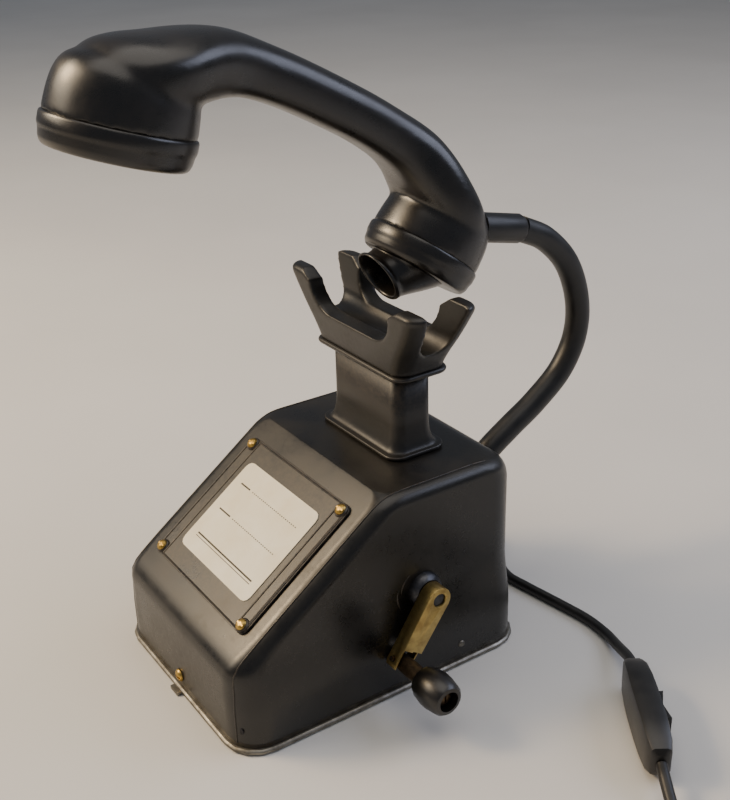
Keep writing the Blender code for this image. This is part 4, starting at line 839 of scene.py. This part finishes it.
def smooth_rows(rows, per_span):
    """Rows of numbers read from a smooth curve through the given ones."""
    rows = [rows[0]] + list(rows) + [rows[-1]]
    found = []
    for i in range(1, len(rows) - 2):
        for step in range(per_span):
            t = step / per_span
            found.append(tuple(
                0.5
                * (2 * b + (c - a) * t + (2 * a - 5 * b + 4 * c - d) * t**2 + (3 * b - a - 3 * c + d) * t**3)
                for a, b, c, d in zip(*rows[i - 1 : i + 3])
            ))
    found.append(rows[-2])
    return found


def valley(half_bottom, half_top, bottom, top, radius):
    """One side of a rounded valley and its mirror image, as (across, height)."""
    half = [(half_top, top)]
    for step in range(13):
        angle = math.radians(-90 * step / 12)
        across = half_bottom - radius + radius * math.cos(angle)
        half.append((across, bottom + radius + radius * math.sin(angle)))
    return half + [(-across, height) for across, height in reversed(half)]


across_x = [[(a, y, z) for a, z in valley(33.5, 52.6, 168.0, 196, 15)] for y in (PED_Y - 30, PED_Y + 30)]
across_y = [[(x, PED_Y + a, z) for a, z in valley(9.0, 13.0, 163.2, 196, 8.8)] for x in (-60, 60)]
recess = [column_ring(30.4, 12.4, 6.4, z) for z in (148, 159)]
flare = [column_ring(*row) for row in smooth_rows(FLARE, 3)]
cradle = fuse("cast_cradle", [skin(flare)], 0.7, 16, (skin(across_x), skin(across_y), skin(recess)))
finish(cradle, casting_enamel, "fork", "black_lacquer", "cradle_fork")

# %% [markdown]
# A rolled bead closes the cradle's lower edge. It is a half round swept along the outline, with a fine
# groove above it that holds a shadow.

# %% Cradle bead
rings = [column_ring(31.4, 12.6, 6.6, z) for z in (152.2, 149.0)]
rings.append(column_ring(35.6, 14.0, 7.0, 149.0))
for step in range(11):
    angle = math.pi * step / 10 - math.pi / 2
    grow = 1.5 * math.cos(angle)
    rings.append(column_ring(36.2 + grow, 14.6 + grow, 7.4, 150.6 + 1.4 * math.sin(angle)))
rings.append(column_ring(35.4, 13.8, 7.0, 152.2))
points, faces = skin(rings + rings[:1], False, False)
mesh_piece("cradle_bead", points, faces, casting_enamel, "fork", "black_lacquer")

# %% [markdown]
# Inside the pedestal a coil spring pushes the cradle up. Here it is a fixed helix of wire that rides on the
# base.

# %% Return spring
SPRING_R, SPRING_WIRE, SPRING_TURNS = 7.4, 0.8, 8
SPRING_FOOT, SPRING_TOP = 107.6, 157.9
SPRING_STEPS = SPRING_TURNS * 24
rings = []
for step in range(SPRING_STEPS + 1):
    share = step / SPRING_STEPS
    around = 2 * math.pi * SPRING_TURNS * share
    outward = Vector((math.cos(around), math.sin(around), 0))
    middle = Vector((0, PED_Y, SPRING_FOOT + (SPRING_TOP - SPRING_FOOT) * share)) + outward * SPRING_R
    ring = []
    for corner in range(8):
        angle = 2 * math.pi * corner / 8
        ring.append(middle + (outward * math.cos(angle) + Vector((0, 0, math.sin(angle)))) * SPRING_WIRE)
    rings.append(ring)
points, faces = skin(rings)
spring = mesh_piece(
    "coiled_return_spring", points, faces, blued_steel, "base", "dark_steel", ("return_spring",)
)
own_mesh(spring)

# %% [markdown]
# ## Handset
# Ear cup, grip and mouth cup came out of one mould, so they flow into each other. The grip is a skin over
# superellipse sections whose sizes are read from a smooth curve, the cups are turned, and the three are
# fused. The cups are left open underneath, where the caps screw on.

# %% Handset frame
HANDSET_SPOT = Vector((0, -5.8, 238.8))
PITCH = math.radians(-28.2)
EAR_TILT, MOUTH_TILT = math.radians(10.8), math.radians(-8.8)
handset_turn = Matrix.Rotation(PITCH, 3, "X")
ear_seat, mouth_seat = Vector((0, -85.5, 0)), Vector((0, 84.5, 0))
ear_axis = Vector((0, -math.sin(EAR_TILT), math.cos(EAR_TILT)))
mouth_axis = Vector((0, -math.sin(MOUTH_TILT), math.cos(MOUTH_TILT)))


def in_handset(point):
    """A point of the handset's own frame, in the shared one."""
    return HANDSET_SPOT + handset_turn @ Vector(point)


CUP_SHARES = (
    # share of the cup's radius, height: a slight taper, a rounded shoulder and a low back
    (1.0, 0.0), (0.99, 6.0), (0.975, 11.0), (0.945, 16.0), (0.89, 20.5), (0.8, 24.0), (0.66, 26.4),
    (0.48, 27.8), (0.28, 28.5), (0.12, 28.8), (0.0, 28.8),
)


def cup(radius, seat, axis):
    """A cup that tapers a little to a low round back."""
    outside = [(radius * share, height) for share, height in smooth_rows(CUP_SHARES, 4)]
    return lathe([(0, 0)] + outside, in_handset(seat), handset_turn @ axis, 96)


GRIP = (
    # place along the handset, height of the middle, half width, half thickness
    (-110, 13.5, 12.0, 9.0), (-106, 16.5, 19.5, 11.5), (-98, 19.6, 26.0, 14.0), (-88, 23.2, 29.4, 15.6),
    (-78, 27.4, 29.0, 17.0), (-69, 31.8, 25.8, 17.0), (-60, 36.2, 21.4, 15.8), (-51, 39.8, 17.6, 13.9),
    (-40, 42.2, 15.0, 12.4), (-22, 43.8, 13.8, 11.8), (0, 44.2, 13.5, 11.7), (22, 43.8, 13.8, 11.8),
    (40, 42.0, 15.0, 12.4), (51, 39.6, 17.4, 13.8), (60, 36.2, 20.8, 15.4), (69, 31.6, 24.2, 16.2),
    (78, 26.6, 26.4, 16.0), (88, 21.6, 26.6, 14.6), (97, 17.4, 23.0, 12.6), (104, 13.8, 17.0, 10.4),
    (108, 11.6, 11.0, 8.0),
)


def grip():
    """The handle, from cup to cup."""
    rings = []
    for along, height, half_width, half_thick in smooth_rows(GRIP, 4):
        ring = []
        for step in range(56):
            angle = 2 * math.pi * (step + 0.5) / 56
            c, s = math.cos(angle), math.sin(angle)
            power = 2 / 2.2 if s > 0 else 2 / 3.4
            x = math.copysign(abs(c) ** power, c) * half_width
            n = math.copysign(abs(s) ** power, s) * half_thick
            ring.append(in_handset((x, along, height + n)))
        rings.append(ring)
    return skin(rings)


# %% Handset body
EAR_CUP_R, MOUTH_CUP_R = 31.2, 28.4
parts = [cup(EAR_CUP_R, ear_seat, ear_axis), cup(MOUTH_CUP_R, mouth_seat, mouth_axis), grip()]
handset_shell = fuse("moulded_handset", parts, 1.0, 22)


def hollow(name, profile, seat, axis):
    """Cut a turned hollow into the handset. It returns the cutter."""
    points, faces = lathe(profile, in_handset(seat), handset_turn @ axis, 64)
    cutter = mesh_piece(name, points, faces)
    cut = handset_shell.modifiers.new(name, "BOOLEAN")
    cut.object = cutter
    cut.solver = "EXACT"
    return cutter


cutters = [
    hollow("ear_hollow", [(0, 24.5), (17, 24.5), (25, 18), (27.6, -4), (0, -4)], ear_seat, ear_axis),
    hollow("mouth_hollow", [(0, 16), (22, 16), (25.6, 10), (25.6, -4), (0, -4)], mouth_seat, mouth_axis),
]
bpy.context.view_layer.update()
graph = bpy.context.evaluated_depsgraph_get()
cut_mesh = bpy.data.meshes.new_from_object(handset_shell.evaluated_get(graph))
handset_shell.modifiers.clear()
handset_shell.data = cut_mesh
for cutter in cutters:
    bpy.data.objects.remove(cutter)
finish(handset_shell, polished_phenolic, "handset", "bakelite", "handset_body")
split = handset_shell.modifiers.new("keep_corners", "EDGE_SPLIT")
split.split_angle = SHARP
print("handset faces:", len(handset_shell.data.polygons))

# %% [markdown]
# ## Caps
# Both caps screw on. Each has a rim a little wider than its cup, tapers to its face, and carries a fine
# shadow line where it meets the cup. They are turned, so their profiles say everything.

# %% Caps
CAP, MOUTH_CAP = 32.0, 29.2


def rounded_profile(profile, radius=0.5):
    """The same profile with its corners cut, so that edges catch a line of light."""
    found = [profile[0]]
    for before, here, after in zip(profile, profile[1:], profile[2:]):
        a, b, c = Vector(before), Vector(here), Vector(after)
        for end in (a, c):
            way = end - b
            found.append(tuple(b + way.normalized() * min(radius, way.length * 0.4)))
    found.append(profile[-1])
    return found


ear_profile = [
    (28.4, 1.0), (CAP - 0.9, 1.0), (CAP, 0.0), (CAP, -4.2), (CAP - 0.7, -6), (CAP - 1.2, -9.5),
    (CAP - 2.2, -11.8), (CAP - 3.6, -12.6), (26.4, -12.6), (25.4, -11.2), (25.6, -9.8), (28.4, -9.4),
]
mouth_profile = [
    (0, -8.4), (25, -8.4), (26.4, -7), (26.4, 1.0), (MOUTH_CAP - 0.9, 1.0), (MOUTH_CAP, 0.0),
    (MOUTH_CAP, -4.2), (MOUTH_CAP - 0.6, -6), (MOUTH_CAP - 1.0, -9), (MOUTH_CAP - 2.6, -11.4), (0, -11.4),
]
points, faces = lathe(rounded_profile(ear_profile), in_handset(ear_seat), handset_turn @ ear_axis, 96)
soften(mesh_piece("turned_ear_cap", points, faces, polished_phenolic, "handset", "bakelite", ("ear_cap",)))
points, faces = lathe(rounded_profile(mouth_profile), in_handset(mouth_seat), handset_turn @ mouth_axis, 96)
soften(
    mesh_piece("turned_mouth_cap", points, faces, polished_phenolic, "handset", "bakelite", ("mouth_cap",))
)

# %% [markdown]
# ## Mouthpiece
# A short scoop on the mouth cap gathers the voice. Its foot is an oval on the cap, its mouth faces forward,
# and its lip is rolled. It is a skin over ovals that lean over one after another.

# %% Mouthpiece
SCOOP = (
    # along the cap's face, out from it, half width, half length, lean in degrees
    (-4.0, 11.7, 18.5, 20.0, 0), (-6.5, 14.6, 16.6, 17.2, 8), (-10.5, 18.2, 14.8, 14.6, 18),
    (-14.0, 21.2, 13.8, 13.4, 25), (-16.0, 22.8, 14.2, 13.8, 28), (-16.9, 23.6, 14.0, 13.6, 28),
    (-17.2, 23.7, 13.2, 12.8, 28), (-16.6, 22.8, 12.0, 11.8, 28), (-13.0, 19.2, 11.0, 10.8, 22),
    (-8.5, 15.4, 10.4, 10.8, 10),
)
face_y = Vector((0, math.cos(MOUTH_TILT), math.sin(MOUTH_TILT)))
rings = []
for along, out, half_x, half_y, lean in smooth_rows(SCOOP, 4):
    ring = []
    tip = math.radians(lean)
    for step in range(64):
        angle = 2 * math.pi * step / 64
        x, y = half_x * math.cos(angle), half_y * math.sin(angle)
        on_face = mouth_seat + Vector((x, 0, 0)) + face_y * (along + y * math.cos(tip))
        ring.append(in_handset(on_face - mouth_axis * (out + y * math.sin(tip))))
    rings.append(ring)
points, faces = skin(rings)
soften(
    mesh_piece("scoop_mouthpiece", points, faces, polished_phenolic, "handset", "bakelite", ("mouthpiece",))
)

# %% [markdown]
# ## Bendable arm
# The arm is a steel gooseneck in a smooth black sleeve. The CAD models it as rigid lengths with a hinge
# between each two. The sleeve is one tube cut at the middle of each length, and each cut part bends about
# its own hinge, so the cuts stay closed when the arm moves.

# %% Sleeve
SLEEVE_R = 6.75
ARM_KNOTS = (
    (0, 90.5, 62.5), (0, 97.5, 62.9), (0, 105.5, 67.4), (0, 114, 74.8), (0, 129, 84), (0, 146, 94),
    (0, 164, 108.5), (0, 174, 127), (0, 174.5, 148), (0, 165.5, 171), (0, 149, 188), (0, 131, 197.2),
)
BENDS = (76.0, 118.0, 166.0)
BLEND_REACH = 16
arm_path = smooth_path(ARM_KNOTS, 12)
arm_length = path_length(arm_path)


def along_arm(distance):
    """A point of the arm and its direction there."""
    for a, b in zip(arm_path, arm_path[1:]):
        span = (b - a).length
        if distance <= span or b is arm_path[-1]:
            return a.lerp(b, distance / span), (b - a).normalized()
        distance -= span


def sleeve(name, start, end, first, second, bend, *replaced):
    """A stretch of sleeve that bends between two bodies about the hinge at a distance along the arm."""
    count = round((end - start) / 1.2)
    rings = []
    for station in range(count + 1):
        distance = start + (end - start) * station / count
        spot, way = along_arm(distance)
        before = along_arm(max(0, distance - 3))[1]
        after = along_arm(min(arm_length, distance + 3))[1]
        way = (before + way + after).normalized()
        side = Vector((1, 0, 0))
        lift = way.cross(side)
        ring = []
        for step in range(40):
            angle = 2 * math.pi * step / 40
            ring.append(spot + (side * math.cos(angle) + lift * math.sin(angle)) * SLEEVE_R)
        rings.append(ring)
    points, faces = skin(rings)
    made = mesh_piece(name, points, faces)
    made.data.materials.append(arm_sleeve)
    soften(made)
    low = along_arm(bend - BLEND_REACH)[0]
    high = along_arm(min(bend + BLEND_REACH, arm_length))[0]
    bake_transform(made, first, second, start=tuple(low * MM), end=tuple(high * MM))
    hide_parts(*replaced)


middles = [(a + b) / 2 for a, b in zip(BENDS, BENDS[1:])]
sleeve("sleeve_low", 0, middles[0], "base", "neck_low", BENDS[0], "neck_root", "neck_low")
sleeve("sleeve_middle", middles[0], middles[1], "neck_low", "neck_middle", BENDS[1], "neck_middle")
sleeve("sleeve_top", middles[1], arm_length, "neck_middle", "handset", BENDS[2], "neck_top")
print("arm length, mm:", round(arm_length))

# %% [markdown]
# ## Number plate
# A thin plate lies on the slope. Its rim is folded to a fine raised line. Another line runs down each side,
# with one more beside it on the crank's side, and each screw stands on a small raised boss. The lines are
# only half a millimetre high, yet they catch the light.

# %% Number plate
slope_up = Vector((0, math.cos(SLOPE), math.sin(SLOPE)))
SLOPE_LENGTH = (SLOPE_BACK + HOUSE_Y) / math.cos(SLOPE)
SLOPE_MIDDLE = Vector((0, -HOUSE_Y, WALL_TOP)) + slope_up * 0.52 * SLOPE_LENGTH
PLATE_X, PLATE_Y, PLATE_CORNER = 46.5, 38.5, 4
PLATE_GAP, PLATE_THICK, CARD_THICK = 0.3, 1.05, 0.4
RAIL_PLACES = (-38.4, 38.4, 44.6)
SCREW_X, SCREW_Y = 42.2, 34.7
RAIL = ((-0.6, -0.1), (-0.3, 0.35), (0, 0.45), (0.3, 0.35), (0.6, -0.1))
FOLD = ((0.5, 0.9), (0.7, 1.35), (1.1, 1.5), (1.5, 1.35), (1.7, 0.9), (0.5, 0.9))
BOSS = [(0, 1.25), (3.0, 1.25), (3.7, 0.7), (3.9, -0.2), (0, -0.2)]


def on_plate(x, y, lift):
    """A point above the plate's underside."""
    return SLOPE_MIDDLE + Vector((x, 0, 0)) + slope_up * y + slope_out * (PLATE_GAP + lift)


def plate_ring(inset, lift):
    corner = (PLATE_CORNER - inset,) * 2
    flat = rounded_ring(PLATE_X - inset, -PLATE_Y + inset, PLATE_Y - inset, corner, corner, 0, 6)
    return [on_plate(x, y, lift) for x, y, _ in flat]


def line_ring(x, y, lift):
    return [on_plate(x + across, y, lift + height) for across, height in RAIL]


parts = [
    skin([plate_ring(0, 0.02), plate_ring(0, 0.8), plate_ring(0.2, 1.0)]),
    skin([plate_ring(inset, lift) for inset, lift in FOLD], False, False),
]
for x in RAIL_PLACES:
    parts.append(skin([line_ring(x, y, 1.0) for y in (-PLATE_Y + 1.4, 0, PLATE_Y - 1.4)]))
for x in (-SCREW_X, SCREW_X):
    for y in (-SCREW_Y, SCREW_Y):
        parts.append(lathe(BOSS, on_plate(x, y, 0.9), slope_out, 28))
points, faces = [], []
for more_points, more_faces in parts:
    faces += [tuple(len(points) + i for i in face) for face in more_faces]
    points += more_points
soften(
    mesh_piece("folded_number_plate", points, faces, housing_enamel, "base", "black_lacquer", ("number_plate",))
)

# %% [markdown]
# ## Card
# The card has two dotted lines to write on, a short printed bar before each, and two rules at its foot.
# They are ink, so they have hardly any height. The card carries no name.

# %% Card print
card_face = SLOPE_MIDDLE + slope_out * (PLATE_GAP + PLATE_THICK + CARD_THICK)
LEFT_EDGE = -27.5
INK = 0.06


def dash(points, faces, x0, x1, y0, y1):
    """One printed dash on the card, as a very thin plate."""
    first = len(points)
    for lift in (0.02, INK):
        for x, y in ((x0, y0), (x1, y0), (x1, y1), (x0, y1)):
            points.append(card_face + Vector((x, 0, 0)) + slope_up * y + slope_out * lift)
    for quad in ((0, 1, 2, 3), (4, 5, 6, 7), (0, 1, 5, 4), (1, 2, 6, 5), (2, 3, 7, 6), (3, 0, 4, 7)):
        faces.append(tuple(first + i for i in quad))


points, faces = [], []
for y, left, label in ((15.0, -16.0, 9.0), (-1.5, -14.0, 11.0)):
    dash(points, faces, LEFT_EDGE, LEFT_EDGE + label, y - 0.3, y + 0.5)
    place = left
    while place < 27:
        dash(points, faces, place, place + 0.9, y - 0.25, y + 0.25)
        place += 1.8
for y, thick in ((-17.2, 0.7), (-19.0, 0.3)):
    dash(points, faces, LEFT_EDGE, -LEFT_EDGE, y - thick, y + thick * 0.2)
print_marks = mesh_piece("card_print", points, faces, black_ink, "base", "card_paper")
print_marks.data.polygons.foreach_set("use_smooth", [False] * len(print_marks.data.polygons))

# %% [markdown]
# ## Table and light
# A pale table under four soft boxes. A large one in front on the left lights everything, a smaller warm one
# near it draws the highlights and the soft shadows, and a big one above fills in. A cool, weaker one at the
# back on the right draws the outline of the black pieces.

# %% Table and light


def pale_table():
    mesh = bpy.data.meshes.new("table")
    shape = bmesh.new()
    reach = 14.0
    corners = ((-reach, -reach), (reach, -reach), (reach, reach), (-reach, reach))
    shape.faces.new([shape.verts.new((x, y, 0)) for x, y in corners])
    shape.to_mesh(mesh)
    shape.free()
    table = bpy.data.objects.new("table", mesh)
    bpy.context.scene.collection.objects.link(table)
    made, tree, shader, mm = begin("matt_table_top")
    tone = ramp(tree, noise(tree, mm, 300), ((0.3, "#d2d0cc"), (0.7, "#d9d7d3")))
    tree.links.new(tone, shader.inputs["Base Color"])
    shader.inputs["Roughness"].default_value = 0.8
    mesh.materials.append(made)


pale_table()


def soft_box(name, place, aim, size, power, colour):
    """A rectangular lamp at a place, turned to a point."""
    lamp = bpy.data.lights.new(name, "AREA")
    lamp.shape = "RECTANGLE"
    lamp.size, lamp.size_y = size
    lamp.energy = power
    lamp.color = linear(colour)[:3]
    box = bpy.data.objects.new(name, lamp)
    box.location = place
    box.rotation_euler = (Vector(aim) - Vector(place)).to_track_quat("-Z", "Y").to_euler()
    bpy.context.scene.collection.objects.link(box)


soft_box("front_soft_box", (-0.95, -1.15, 1.15), (0, 0, 0.12), (1.3, 1.1), 20, "#fff0d8")
soft_box("warm_soft_box", (-0.62, -0.72, 0.85), (0.02, 0, 0.08), (0.3, 0.3), 9, "#ffdba6")
soft_box("back_soft_box", (0.6, 1.3, 1.1), (0, 0, 0.12), (1.3, 0.8), 11, "#dfe6ff")
soft_box("top_soft_box", (0.1, 0.05, 1.7), (0, 0, 0), (1.6, 1.6), 13, "#fff6ea")
world = bpy.data.worlds.new("studio")
world.use_nodes = True
world.node_tree.nodes["Background"].inputs["Color"].default_value = linear("#b9bfca")
world.node_tree.nodes["Background"].inputs["Strength"].default_value = 0.36
bpy.context.scene.world = world
